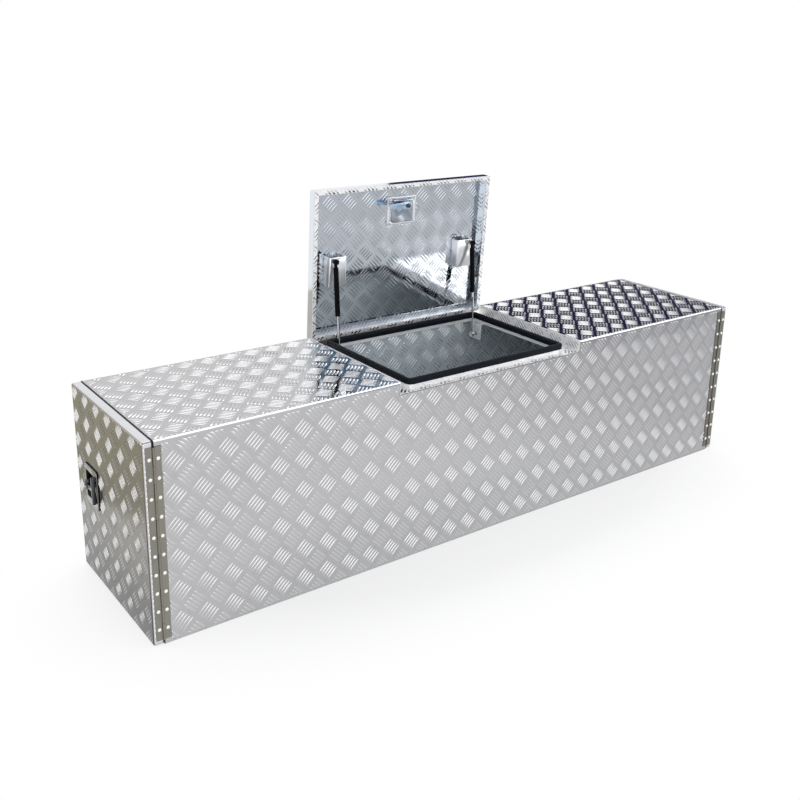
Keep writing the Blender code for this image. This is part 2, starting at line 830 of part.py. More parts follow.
def lock_spindle(place):
    """Hub, round shank, square end and tail nut, with the fork and pin that hold the handle."""
    at_hub = hub_frame(place)
    profile = (
        (0, hub_height),
        (hub_radius, hub_height),
        (hub_radius, hub_low),
        (hub_shank_radius, hub_low),
        (hub_shank_radius, cam_high + seat_gap),
        (0, cam_high + seat_gap),
    )
    hub = turned(profile, at_hub)
    square_end = prism(rectangle(square_half, square_half), tail_nut_face - tail_nut_height / 2,
                       cam_high + square_half, at_hub)
    tail_nut = prism(circle(tail_nut_radius, hex_sides), tail_nut_face - tail_nut_height, tail_nut_face, at_hub)
    half_fork = stem_width / 2 + stem_side_clearance
    fork_back = -fold_pin_offset + stem_thickness / 2 + stem_side_clearance
    fork_floor = fold_pin_height - stem_thickness / 2 - seat_gap
    fork = [(half_fork, -hub_radius - cut_overrun), (half_fork, fork_back), (-half_fork, fork_back),
            (-half_fork, -hub_radius - cut_overrun)]
    fork_cutter = prism(fork, fork_floor, hub_height + cut_overrun, at_hub)
    key_bore = prism(circle(key_radius + key_clearance, round_sides, (0, key_offset)),
                     hub_height - key_depth, hub_height + cut_overrun, at_hub)
    across = fold_pin_frame(place) @ frame_at(no_shift, along_y, along_z)
    half_pin = half_fork + stem_side_clearance
    fold_pin = prism(circle(fold_pin_radius, knuckle_sides), -half_pin, half_pin, across)
    return join(cut(join(hub, square_end, tail_nut), fork_cutter, key_bore), fold_pin)


def fold_pin_frame(place):
    return hub_frame(place) @ Matrix.Translation((0, -fold_pin_offset, fold_pin_height))


def lock_handle(place):
    """The T-handle, folded flat: an eye on the fold pin, a stem and a cross bar."""
    at_pin = fold_pin_frame(place)
    across = at_pin @ frame_at(no_shift, along_y, along_z)
    eye_radius = stem_thickness / 2
    half_stem = stem_width / 2
    stem_end = -(bar_offset - fold_pin_offset)
    eye = prism(circle(eye_radius, round_sides), -half_stem, half_stem, across)
    stem = prism([(half_stem, stem_end), (half_stem, 0), (-half_stem, 0), (-half_stem, stem_end)],
                 -eye_radius, eye_radius, at_pin)
    bar_low = -eye_radius
    bar_frame = at_pin @ Matrix.Translation((0, stem_end, bar_low + bar_height / 2))
    bar_across = bar_frame @ frame_at(no_shift, along_y, along_z)
    bar_bevel_share = 0.30
    bar_section = rounded_rectangle(bar_width / 2, bar_height / 2, bar_height * bar_bevel_share)
    bar = prism(bar_section, -bar_length / 2, bar_length / 2, bar_across)
    eye_bore = prism(circle(fold_bore_radius, knuckle_sides), -half_stem - cut_overrun, half_stem + cut_overrun,
                     across)
    return cut(join(join(stem, eye), bar), eye_bore)


def lock_key_plug(place):
    """The key cylinder's plug in the hub's face, with its keyway."""
    at_key = hub_frame(place) @ Matrix.Translation((0, key_offset, 0))
    face = hub_height + key_proud
    plug = prism(circle(key_radius, round_sides), hub_height - key_depth + seat_gap, face, at_key)
    slot = rectangle(keyway_length / 2, keyway_width / 2)
    return cut(plug, prism(slot, face - keyway_depth, face + cut_overrun, at_key))


def lock_cam(place):
    """The flat cam on the square, pointing along the lock's long side, clear of the jamb."""
    at_hub = hub_frame(place)
    half_tip = cam_tip_width / 2
    outline = []
    for k in range(cam_arc_steps + 1):
        angle = math.radians(cam_arc_start_degrees + cam_arc_sweep_degrees * k / cam_arc_steps)
        outline.append((cam_hub_radius * math.cos(angle), cam_hub_radius * math.sin(angle)))
    outline += [(cam_reach, -half_tip), (cam_reach, half_tip)]
    plate = prism(outline, cam_low, cam_high, at_hub)
    half_hole = square_half + square_clearance
    return cut(plate, prism(rectangle(half_hole, half_hole), cam_low - cut_overrun, cam_high + cut_overrun, at_hub))


def lock_pieces(place, nuts_on):
    """Every piece of one lock: name, solid, finish and the axis that carries it."""
    return (
        ("lock_dish", lock_dish(place), "lock_steel", None),
        ("lock_gasket", lock_gasket(place), "seal_rubber", None),
        ("lock_clamp", lock_clamp(place, nuts_on), "lock_steel", None),
        ("lock_spindle", lock_spindle(place), "handle_chrome", "lock_axis"),
        ("lock_cam", lock_cam(place), "zinc_steel", "lock_axis"),
        ("lock_handle", lock_handle(place), "handle_chrome", "handle_axis"),
        ("lock_key_plug", lock_key_plug(place), "lock_steel", "key_axis"),
    )


def lock_axis_points(place):
    hub = hub_frame(place).translation
    handle = fold_pin_frame(place).translation
    key = (hub_frame(place) @ Matrix.Translation((0, key_offset, hub_height))).translation
    return hub, handle, key


def make_locks():
    for name, shape, finish_name, axis in lock_pieces(door_lock_place(), True):
        both_sides(name, shape, finish_name, axis or "door_axis")
    for name, shape, finish_name, axis in lock_pieces(lid_lock_place(), False):
        node("lid_" + name, shape, finish_name, "lid_" + (axis or "axis"))
    for k, centre in enumerate(stud_places):
        nut = domed_nut(centre, nut_face, lid_lock_place())
        node(f"lid_lock_nut_{k + 1}", cut(nut, stud_bore(centre, lid_lock_place())), "lock_steel", "lid_axis")


# Gas struts and their brackets, drawn on the right and mirrored
def strut_frame():
    """The right strut's frame at its foot: the third axis runs up the strut."""
    return frame_at(strut_foot, along_x, strut_direction.cross(along_x))


def cup_cutter(place):
    """A round-ended cutter for the socket of a ball, opening along the frame's third axis."""
    profile = [(0, cut_overrun), (cup_bore_radius, cut_overrun)]
    for k in range(ball_steps // 2):
        angle = math.radians(90) * k / (ball_steps // 2)
        profile.append((cup_bore_radius * math.cos(angle), -cup_bore_radius * math.sin(angle)))
    profile.append((0, -cup_bore_radius))
    return turned(profile, place)


def with_cup(shape, place):
    """Adds a ball socket that opens along the frame's third axis."""
    cup = prism(circle(cup_radius), -cup_back, cup_rim, place)
    return cut(join(shape, cup), cup_cutter(place))


def ball_stud(centre, outward, plate_distance):
    """A ball stud, from its ball back through the plate that it is bolted to, with its nut made up behind."""
    sideways = along_x if abs(outward.x) < abs(outward.y) + abs(outward.z) else along_z
    place = frame_at(centre, sideways, outward.cross(sideways))
    neck_angle = math.asin(ball_neck_radius / ball_radius)
    profile = [(0, ball_radius)]
    sweep = math.pi - neck_angle
    for k in range(1, ball_steps + 1):
        angle = sweep * k / ball_steps
        profile.append((ball_radius * math.sin(angle), ball_radius * math.cos(angle)))
    face = -plate_distance + seat_gap
    back = -plate_distance - bracket_sheet
    profile += [
        (ball_neck_radius, face + shoulder_thickness),
        (shoulder_radius, face + shoulder_thickness),
        (shoulder_radius, face),
        (stud_thread_radius, face),
        (stud_thread_radius, back - seat_gap),
        (thread_nut_radius, back - seat_gap),
        (thread_nut_radius, back - seat_gap - thread_nut_height),
        (stud_thread_radius, back - seat_gap - thread_nut_height),
        (stud_thread_radius, back - thread_tail),
        (0, back - thread_tail),
    ]
    return turned(profile, place)


def make_strut_rods():
    """Rod, ferrule, foot socket and piston, as one piece."""
    place = strut_frame()
    profile = (
        (0, 0),
        (ferrule_radius, 0),
        (ferrule_radius, ferrule_length),
        (strut_rod_radius, ferrule_length),
        (strut_rod_radius, strut_rod_length - piston_length),
        (piston_radius, strut_rod_length - piston_length),
        (piston_radius, strut_rod_length),
        (0, strut_rod_length),
    )
    socket = frame_at(strut_foot, along_y, along_z)
    shape = with_cup(turned(profile, place), socket)
    both_sides("strut_rod", shape, "strut_rod_steel", "strut_axis", "right_")


def make_strut_tubes():
    """The gas strut's tube, with its neck, bore and head socket."""
    shank_top = strut_open - cup_radius / 2
    tube_top = strut_open - 2 * cup_radius
    low = tube_top - strut_tube_length
    outer = strut_tube_radius
    chamfer = strut_tube_chamfer
    profile = (
        (0, shank_top),
        (head_shank_radius, shank_top),
        (head_shank_radius, tube_top),
        (outer - chamfer, tube_top),
        (outer, tube_top - chamfer),
        (outer, low + chamfer),
        (outer - chamfer, low),
        (strut_neck_radius, low),
        (strut_neck_radius, low + strut_neck_length),
        (strut_bore_radius, low + strut_neck_length),
        (strut_bore_radius, tube_top - strut_bore_end_wall),
        (0, tube_top - strut_bore_end_wall),
    )
    to_rear = strut_direction.cross(along_x)
    socket = frame_at(strut_head, along_x, to_rear.cross(along_x))
    shape = with_cup(turned(profile, strut_frame()), socket)
    both_sides("strut_tube", shape, "strut_black", "strut_axis", "right_")


def lid_ball_centre():
    """The head ball's centre on the closed lid."""
    turn = Matrix.Rotation(math.radians(lid_open_degrees), 3, "X")
    return lid_pin + turn @ (strut_head - Vector((0, lid_pin.y, lid_pin.z)))


def make_lid_brackets():
    """The channel brackets inside the lid: a web that stands off the skin on two legs."""
    ball = lid_ball_centre()
    skin = lid_top - sheet - seat_gap
    web_face = lid_top - sheet - lid_bracket_standoff
    front = ball.y - lid_bracket_front_reach
    outer = strut_spread + lid_bracket_overhang
    inner = outer - lid_bracket_width
    path = ((inner, skin), (inner, web_face), (outer, web_face), (outer, skin))
    section = folded_outline(path, bracket_sheet, bend_radius)
    channel = prism(section, -front - lid_bracket_length, -front, front_view())
    hole_frame = frame_at(Vector((ball.x, ball.y, web_face)), along_x, along_y)
    hole = prism(circle(stud_thread_hole_radius, knuckle_sides), -cut_overrun, cut_overrun, hole_frame)
    both_sides("lid_strut_bracket", cut(channel, hole), "bracket_aluminium", "lid_axis", "right_")


def make_foot_brackets():
    """The angle brackets that hang under the ledge and carry the struts' feet."""
    plate_face = strut_spread + foot_plate_offset
    top = ledge_bottom - seat_gap
    bottom = strut_foot.z - foot_bracket_below
    path = ((plate_face, bottom), (plate_face, top), (plate_face + foot_flange, top))
    half = foot_bracket_depth / 2
    section = folded_outline(path, bracket_sheet, bend_radius)
    angle = prism(section, -strut_foot.y - half, -strut_foot.y + half, front_view())
    hole_frame = frame_at(Vector((plate_face, strut_foot.y, strut_foot.z)), along_y, along_z)
    hole = prism(circle(stud_thread_hole_radius, knuckle_sides), -cut_overrun, cut_overrun, hole_frame)
    both_sides("strut_foot_bracket", cut(angle, hole), "bracket_aluminium", None, "right_")


def make_ball_studs():
    foot = ball_stud(strut_foot, -along_x, foot_plate_offset)
    both_sides("strut_foot_ball_stud", foot, "pin_steel", None, "right_")
    ball = lid_ball_centre()
    web_face = lid_top - sheet - lid_bracket_standoff
    head = ball_stud(ball, -along_z, web_face - ball.z)
    both_sides("strut_head_ball_stud", head, "pin_steel", "lid_axis", "right_")


# Assembly
def make_lock_carriers(side, on, place, across):
    """The axes of one lock: its spindle's, and on it the handle's fold and the key's."""
    hub, handle, key = lock_axis_points(place)
    carrier(side + "lock_axis", hub * across, on)
    carrier(side + "handle_axis", handle * across, side + "lock_axis")
    carrier(side + "key_axis", key * across, side + "lock_axis")


def make_carriers():
    """Empties on every joint's axis."""
    lid_axis = carrier("lid_axis", lid_pin)
    lid_axis.rotation_euler.x = -math.radians(lid_open_degrees)
    make_lock_carriers("lid_", "lid_axis", lid_lock_place(), Vector((1, 1, 1)))
    for side, across in (("left_", Vector((1, 1, 1))), ("right_", Vector((-1, 1, 1)))):
        carrier(side + "door_axis", door_pin * across)
        make_lock_carriers(side, side + "door_axis", door_lock_place(), across)
        carrier(side + "strut_axis", strut_foot * across * Vector((-1, 1, 1)))


def main():
    for existing in list(bpy.data.objects):
        bpy.data.objects.remove(existing)
    for name, (colour, roughness, metallic) in finish_values.items():
        finishes[name] = finish(name, colour, roughness, metallic)
    make_carriers()
    make_front_top_sheet()
    make_rear_floor_sheet()
    make_opening_pan()
    make_end_frames()
    make_seals()
    make_doors()
    make_lid()
    make_door_hinges()
    make_lid_hinge()
    make_locks()
    make_strut_rods()
    make_strut_tubes()
    make_lid_brackets()
    make_foot_brackets()
    make_ball_studs()


main()
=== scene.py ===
"""Looks of the tread-plate trailer tool box: tread bars, rivets, rounded hardware, finishes and stage."""

import json
import math
from typing import NamedTuple

import bmesh
import bpy
from bpy.props import FloatProperty, FloatVectorProperty, IntProperty, PointerProperty
from mathutils import Matrix, Vector

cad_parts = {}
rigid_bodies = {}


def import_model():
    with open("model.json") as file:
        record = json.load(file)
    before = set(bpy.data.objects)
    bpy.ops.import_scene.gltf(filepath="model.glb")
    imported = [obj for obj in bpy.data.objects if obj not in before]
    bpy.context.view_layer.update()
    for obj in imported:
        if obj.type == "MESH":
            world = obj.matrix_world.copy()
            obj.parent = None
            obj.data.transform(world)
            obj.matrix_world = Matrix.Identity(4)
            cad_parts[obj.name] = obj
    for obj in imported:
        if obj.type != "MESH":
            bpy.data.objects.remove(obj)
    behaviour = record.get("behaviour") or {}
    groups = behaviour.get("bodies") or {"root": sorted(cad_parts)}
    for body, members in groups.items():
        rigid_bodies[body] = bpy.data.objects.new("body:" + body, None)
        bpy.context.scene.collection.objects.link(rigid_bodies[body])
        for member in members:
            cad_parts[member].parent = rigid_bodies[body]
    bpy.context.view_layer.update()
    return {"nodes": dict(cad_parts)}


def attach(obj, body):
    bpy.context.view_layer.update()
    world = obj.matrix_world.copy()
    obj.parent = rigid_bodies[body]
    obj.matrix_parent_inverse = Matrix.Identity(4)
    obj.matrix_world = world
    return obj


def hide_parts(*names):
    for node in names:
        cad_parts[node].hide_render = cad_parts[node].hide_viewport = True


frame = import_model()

bl_info = {
    "name": "Trailer tool box looks",
    "version": (1, 0, 0),
    "blender": (4, 5, 0),
    "location": "View3D > Sidebar > Tool Box",
    "description": "Tread bars, rivets, hardware, finishes and stage for a trailer tool box",
    "category": "Object",
}

# Places and sizes on the box, in metres, as the solids have them
HALF_LENGTH = 1.0
HALF_DEPTH = 0.225
HEIGHT = 0.5
SHEET = 0.0025
DOOR_LINE = 0.9755
SHELL_END = 0.9745
RECESS_HALF = 0.322
LEDGE_TOP = 0.467
LEAF_WIDTH = 0.018
LID_PIN = Vector((0.0, 0.2285, 0.4775))
LID_OPEN_DEGREES = 86.5
LID_TOP = 0.498
LID_HALF_WIDTH = 0.314
LID_HALF_DEPTH = 0.2185
LID_SKIRT = 0.030
LID_LIP = 0.012
LID_FOLD = 0.4925
LID_LOCK_Y = -0.1345
DOOR_LOCK = (0.118, 0.2625)
RIVET_PITCH = 0.0463
SEAL_HALF = (0.2815, 0.2045)
CLAMP_HALF = (0.0525, 0.0425)
DISH_HALF = (0.0545, 0.0455)
BRACKET_ENDS = (0.2010, 0.2640)
BRACKET_SIDES = (-0.0625, 0.0260)
LIP_MARGIN = 0.0006
LEAF_FACE = 0.0018
CUT_DISTANCE = 0.000001

ALONG_X = Vector((1, 0, 0))
ALONG_Y = Vector((0, 1, 0))
ALONG_Z = Vector((0, 0, 1))

LID_OPENED = (Matrix.Translation(LID_PIN) @ Matrix.Rotation(math.radians(-LID_OPEN_DEGREES), 4, "X")
              @ Matrix.Translation(-LID_PIN))


# Settings that a user would change
class TreadSizes(bpy.types.PropertyGroup):
    """Sizes of the raised tread pattern."""

    pitch_along: FloatProperty(
        name="Pitch Along", description="Spacing of like groups along the box",
        default=0.0652, min=0.02, unit="LENGTH")
    pitch_up: FloatProperty(
        name="Pitch Up", description="Spacing of like groups up the front",
        default=0.0795, min=0.02, unit="LENGTH")
    pitch_back: FloatProperty(
        name="Pitch Back", description="Spacing of like groups across the top",
        default=0.0746, min=0.02, unit="LENGTH")
    bar_length: FloatProperty(
        name="Bar Length", description="Length of one raised bar",
        default=0.0410, min=0.005, unit="LENGTH")
    bar_width: FloatProperty(
        name="Bar Width", description="Width of one raised bar at its middle",
        default=0.0062, min=0.001, unit="LENGTH")
    bar_height: FloatProperty(
        name="Bar Height", description="Height of one raised bar above the plate",
        default=0.0011, min=0.0002, unit="LENGTH")
    bar_spacing: FloatProperty(
        name="Bar Spacing", description="Distance between the bars of one group",
        default=0.0091, min=0.002, unit="LENGTH")
    bars_in_group: IntProperty(
        name="Bars in Group", description="Number of bars side by side in one group",
        default=5, min=1, max=9)


class FinishColours(bpy.types.PropertyGroup):
    """Colours of the finishes."""

    plate: FloatVectorProperty(
        name="Tread Plate", description="Polished aluminium tread plate", size=3,
        subtype="COLOR", default=(0.505, 0.505, 0.515), min=0, max=1)
    # painted shade: the doors' plate is darker and more olive than the same plate on the box, standing in for the
    # darker surroundings the doors mirror
    door: FloatVectorProperty(
        name="Doors", description="Tread plate of the end doors", size=3,
        subtype="COLOR", default=(0.33, 0.31, 0.262), min=0, max=1)
    leaf: FloatVectorProperty(
        name="Plain Aluminium", description="Dull hinge leaves and jambs", size=3,
        subtype="COLOR", default=(0.26, 0.25, 0.215), min=0, max=1)
    rubber: FloatVectorProperty(
        name="Rubber", description="Edge seals and gaskets", size=3,
        subtype="COLOR", default=(0.006, 0.008, 0.012), min=0, max=1)
    stainless: FloatVectorProperty(
        name="Stainless Steel", description="Lock dishes, clamps and nuts", size=3,
        subtype="COLOR", default=(0.42, 0.46, 0.52), min=0, max=1)
    smoky: FloatVectorProperty(
        name="Smoky Chrome", description="Handles and hubs", size=3,
        subtype="COLOR", default=(0.09, 0.095, 0.11), min=0, max=1)
    zinc: FloatVectorProperty(
        name="Blue Zinc", description="Zinc-plated cams", size=3,
        subtype="COLOR", default=(0.48, 0.64, 0.80), min=0, max=1)
    strut: FloatVectorProperty(
        name="Strut Black", description="Painted gas strut tubes", size=3,
        subtype="COLOR", default=(0.002, 0.002, 0.0025), min=0, max=1)


class StageSettings(bpy.types.PropertyGroup):
    """Floor, light and camera."""

    floor_colour: FloatVectorProperty(
        name="Floor", description="Pale floor", size=3, subtype="COLOR",
        default=(0.97, 0.97, 0.97), min=0, max=1)
    front_power: FloatProperty(
        name="Front Light", description="Power of the long soft light ahead of the box",
        default=42.0, min=0, unit="POWER")
    top_power: FloatProperty(
        name="Top Light", description="Power of the high soft light behind the box",
        default=60.0, min=0, unit="POWER")
    lid_power: FloatProperty(
        name="Lid Light", description="Power of the small soft light that the open lid mirrors",
        default=8.0, min=0, unit="POWER")
    door_power: FloatProperty(
        name="Door Light", description="Power of the small soft light beside the left door",
        default=16.0, min=0, unit="POWER")
    focal_length: FloatProperty(
        name="Focal Length", description="Camera lens, in millimetres on a 36 mm sensor",
        default=44.2109, min=1)


# Node trees
def add(tree, kind, **values):
    """Adds a node and sets its plain properties."""
    made = tree.nodes.new(kind)
    for name, value in values.items():
        setattr(made, name, value)
    return made


def feed(tree, source, target):
    """Links an output, or sets a constant, on an input."""
    if hasattr(source, "is_output"):
        tree.links.new(source, target)
    else:
        target.default_value = source


def math_node(tree, operation, first, second=0.0):
    """One sum, product or test of two numbers, each a socket or a constant."""
    made = add(tree, "ShaderNodeMath", operation=operation)
    feed(tree, first, made.inputs[0])
    feed(tree, second, made.inputs[1])
    return made.outputs[0]


def combined(tree, x=0.0, y=0.0, z=0.0):
    """A vector of three numbers, each a socket or a constant."""
    made = add(tree, "ShaderNodeCombineXYZ")
    for socket, value in zip(made.inputs, (x, y, z)):
        feed(tree, value, socket)
    return made.outputs[0]


def axes(tree, place):
    """The three numbers of a place, by their letters."""
    parts = add(tree, "ShaderNodeSeparateXYZ")
    feed(tree, place, parts.inputs[0])
    return parts.outputs


def noise(tree, place, scale, detail=3.0, roughness=0.5, stretch=(1, 1, 1)):
    """Noise on the object's own coordinates, stretched where the metal has a grain."""
    mapping = add(tree, "ShaderNodeMapping")
    mapping.inputs["Scale"].default_value = stretch
    feed(tree, place, mapping.inputs["Vector"])
    made = add(tree, "ShaderNodeTexNoise")
    made.inputs["Scale"].default_value = scale
    made.inputs["Detail"].default_value = detail
    made.inputs["Roughness"].default_value = roughness
    feed(tree, mapping.outputs[0], made.inputs["Vector"])
    return made.outputs["Fac"]


def span(tree, value, low, high, from_low=0.3, from_high=0.7):
    """Carries a value from one span to another."""
    made = add(tree, "ShaderNodeMapRange", clamp=True)
    feed(tree, value, made.inputs["Value"])
    for name, number in (("From Min", from_low), ("From Max", from_high), ("To Min", low), ("To Max", high)):
        made.inputs[name].default_value = number
    return made.outputs["Result"]


def blend_colours(tree, share, first, second):
    """Mixes two colours, each one a socket or three plain parts."""
    made = add(tree, "ShaderNodeMix", data_type="RGBA")
    feed(tree, share, made.inputs[0])
    for colour, target in ((first, made.inputs[6]), (second, made.inputs[7])):
        feed(tree, (*colour, 1) if isinstance(colour, tuple) else colour, target)
    return made.outputs[2]


def mixed_shaders(tree, share, first, second):
    """Sends a mix of two shaders to the material's output."""
    mix = add(tree, "ShaderNodeMixShader")
    for source, target in zip((share, first, second), mix.inputs):
        feed(tree, source, target)
    feed(tree, mix.outputs[0], tree.nodes["Material Output"].inputs["Surface"])


def bump_of(tree, height, distance, strength):
    """A bump node that reads a height."""
    made = add(tree, "ShaderNodeBump")
    made.inputs["Distance"].default_value = distance
    made.inputs["Strength"].default_value = strength
    feed(tree, height, made.inputs["Height"])
    return made


def new_material(name):
    """A node material with its tree, its shader and the object's own coordinates."""
    made = bpy.data.materials.new(name)
    made.use_nodes = True
    shader = made.node_tree.nodes["Principled BSDF"]
    place = add(made.node_tree, "ShaderNodeTexCoord").outputs["Object"]
    return made, made.node_tree, shader, place


def matt(shader):
    """Makes a shader dull, without a highlight."""
    shader.inputs["Roughness"].default_value = 0.9
    shader.inputs["Specular IOR Level"].default_value = 0.0


def scaled(colour, share):
    """A colour made darker or lighter."""
    return tuple(part * share for part in colour)


# Zones of the finishes, several of them painted highlights and painted shade
BEND_FADE = 0.0040
# depth of the doors' painted edge highlight
EDGE_HIGHLIGHT_DEPTH = 0.0008
# heights over which the doors' painted shade fades out
FOOT_SHADE_SPAN = (0.08, 0.36)
TOP_MARGIN = 0.0002
SEAM_INNER = 0.0028
SEAM_OUTER = 0.0032


def between(tree, value, low, high):
    """One where a value lies between two limits, else nothing."""
    above = math_node(tree, "GREATER_THAN", value, low)
    return math_node(tree, "MULTIPLY", above, math_node(tree, "LESS_THAN", value, high))


def box_inside(tree, place):
    """One on the sheets' faces inside the box, which are duller than the polished outside, and painted paler and
    bluish with little metal as a stand-in for the light mirrored round inside the box.
    """
    parts = axes(tree, place)
    x = math_node(tree, "ABSOLUTE", parts["X"])
    y = math_node(tree, "ABSOLUTE", parts["Y"])
    walls = math_node(tree, "MULTIPLY", math_node(tree, "LESS_THAN", x, SHELL_END - SHEET / 2),
                      math_node(tree, "LESS_THAN", y, HALF_DEPTH - SHEET / 2))
    under_ledge = between(tree, parts["Z"], SHEET / 2, LEDGE_TOP - SHEET / 2)
    under_top = math_node(tree, "MULTIPLY", between(tree, parts["Z"], SHEET / 2, HEIGHT - SHEET / 2),
                          math_node(tree, "GREATER_THAN", x, RECESS_HALF + TOP_MARGIN))
    return math_node(tree, "MULTIPLY", walls, math_node(tree, "MAXIMUM", under_ledge, under_top))


def front_inside(tree, place):
    """One on the inner face of the front, which the lid mirrors: painted light, a near-white that stands in for light
    falling on this face.
    """
    near = between(tree, axes(tree, place)["Y"], -HALF_DEPTH + SHEET / 2, -HALF_DEPTH + SHEET * 1.5)
    return math_node(tree, "MULTIPLY", near, box_inside(tree, place))


def box_bends(tree, place):
    """One on the long top bends, which are painted near-white as a highlight."""
    parts = axes(tree, place)
    y = math_node(tree, "ABSOLUTE", parts["Y"])
    over, ahead = (span(tree, value, 0.0, 1.0, edge - BEND_FADE, edge - SHEET)
                   for value, edge in ((parts["Z"], HEIGHT), (y, HALF_DEPTH)))
    return math_node(tree, "MULTIPLY", over, ahead)


def under_lid(tree, place):
    """How far a point lies under the open lid's outer face."""
    outward = LID_OPENED.to_3x3() @ ALONG_Z
    reach = add(tree, "ShaderNodeVectorMath", operation="DOT_PRODUCT")
    feed(tree, place, reach.inputs[0])
    reach.inputs[1].default_value = outward
    return math_node(tree, "SUBTRACT", outward.dot(LID_OPENED @ Vector((0, 0, LID_TOP))), reach.outputs["Value"])


def lid_inside(tree, place):
    """One on the lid's inner face, which is paler and bluer than its outer face."""
    inner = between(tree, under_lid(tree, place), SHEET * 0.6, LID_SKIRT - SHEET * 1.2)
    return math_node(tree, "MULTIPLY", inner, math_node(tree, "GREATER_THAN", axes(tree, place)["Z"], LID_FOLD))


def lid_lip(tree, place):
    """One on the lid's return lip and its rear fold, which are brushed, and painted near-white as a highlight."""
    lip = math_node(tree, "GREATER_THAN", under_lid(tree, place), LID_SKIRT - SHEET * 0.5)
    return math_node(tree, "MAXIMUM", lip, math_node(tree, "LESS_THAN", axes(tree, place)["Z"], LID_FOLD))


def door_edges(tree, place):
    """One on the doors' folded front and top edges, which are painted paler as a highlight."""
    parts = axes(tree, place)
    front = math_node(tree, "LESS_THAN", parts["Y"], -HALF_DEPTH + EDGE_HIGHLIGHT_DEPTH)
    return math_node(tree, "MAXIMUM", front, math_node(tree, "GREATER_THAN", parts["Z"], HEIGHT - EDGE_HIGHLIGHT_DEPTH))


def door_foot(tree, place):
    """More towards the doors' foot, which is painted darker as shade."""
    return span(tree, axes(tree, place)["Z"], 1.0, 0.0, *FOOT_SHADE_SPAN)


def door_seam(tree, place):
    """One on the edges beside the line between each door and the box, painted near-black as the shade in the gap."""
    x = math_node(tree, "ABSOLUTE", axes(tree, place)["X"])
    return between(tree, x, DOOR_LINE - SEAM_INNER, DOOR_LINE + SEAM_OUTER)


# Finishes
EVEN = (1, 1, 1)


def metal(name, colour, roughness, spread, grain_stretch, grain_scale=900.0, grain_height=0.00001,
          smudge_share=0.82, wave_height=0.0, shine=1.0, zones=()):
    """Bare or plated metal: slow colour clouds, handling smudges, a fine grain and slow waves in the surface.
    Each zone is a place with its own colour, added dullness and shine; several zones are painted highlights and
    painted shade."""
    made, tree, shader, place = new_material(name)
    clouds = noise(tree, place, 5.0, 4.0, 0.6)
    smudges = noise(tree, place, 26.0, 5.0, 0.65)
    grain = noise(tree, place, grain_scale, 2.0, 0.6, grain_stretch)
    tone = blend_colours(tree, span(tree, clouds, 0.0, 1.0), scaled(colour, smudge_share + 0.1), colour)
    dulled = add(tree, "ShaderNodeMix", data_type="RGBA", blend_type="MULTIPLY")
    feed(tree, span(tree, smudges, 0.0, 0.6, 0.52, 0.75), dulled.inputs[0])
    feed(tree, tone, dulled.inputs[6])
    dulled.inputs[7].default_value = (smudge_share, smudge_share, smudge_share * 0.98, 1)
    tinted = dulled.outputs[2]
    dullness = math_node(tree, "ADD", span(tree, smudges, roughness, roughness + spread),
                         span(tree, grain, -spread / 3, spread / 3))
    metallic = shine
    for where, zone_colour, zone_dullness, zone_shine in zones:
        share = where(tree, place)
        tinted = blend_colours(tree, share, tinted, zone_colour)
        dullness = math_node(tree, "ADD", dullness, math_node(tree, "MULTIPLY", share, zone_dullness))
        metallic = math_node(tree, "ADD", metallic, math_node(tree, "MULTIPLY", share, zone_shine - shine))
    feed(tree, tinted, shader.inputs["Base Color"])
    feed(tree, dullness, shader.inputs["Roughness"])
    feed(tree, metallic, shader.inputs["Metallic"])
    bump = bump_of(tree, grain, grain_height, 0.6)
    if wave_height:
        wave = bump_of(tree, noise(tree, place, 7.0, 1.0, 0.4), wave_height, 0.5)
        feed(tree, wave.outputs["Normal"], bump.inputs["Normal"])
    feed(tree, bump.outputs["Normal"], shader.inputs["Normal"])
    return made


def dark_coat(name, colour, dust, grain_scale, paler, roughness, highlight, bump):
    """Near-black rubber or paint: a dusty bloom, which is paler and duller, over a fine grain."""
    made, tree, shader, place = new_material(name)
    dust_scale, dust_detail, most_dust, dust_start = dust
    bloom = noise(tree, place, dust_scale, dust_detail, 0.6)
    grain = noise(tree, place, grain_scale, 2.0, 0.5)
    dusty = span(tree, bloom, 0.0, most_dust, dust_start, 0.8)
    feed(tree, blend_colours(tree, dusty, colour, scaled(colour, paler)), shader.inputs["Base Color"])
    feed(tree, span(tree, bloom, *roughness), shader.inputs["Roughness"])
    shader.inputs["Specular IOR Level"].default_value = highlight
    feed(tree, bump_of(tree, grain, *bump).outputs["Normal"], shader.inputs["Normal"])
    return made


finishes = {}


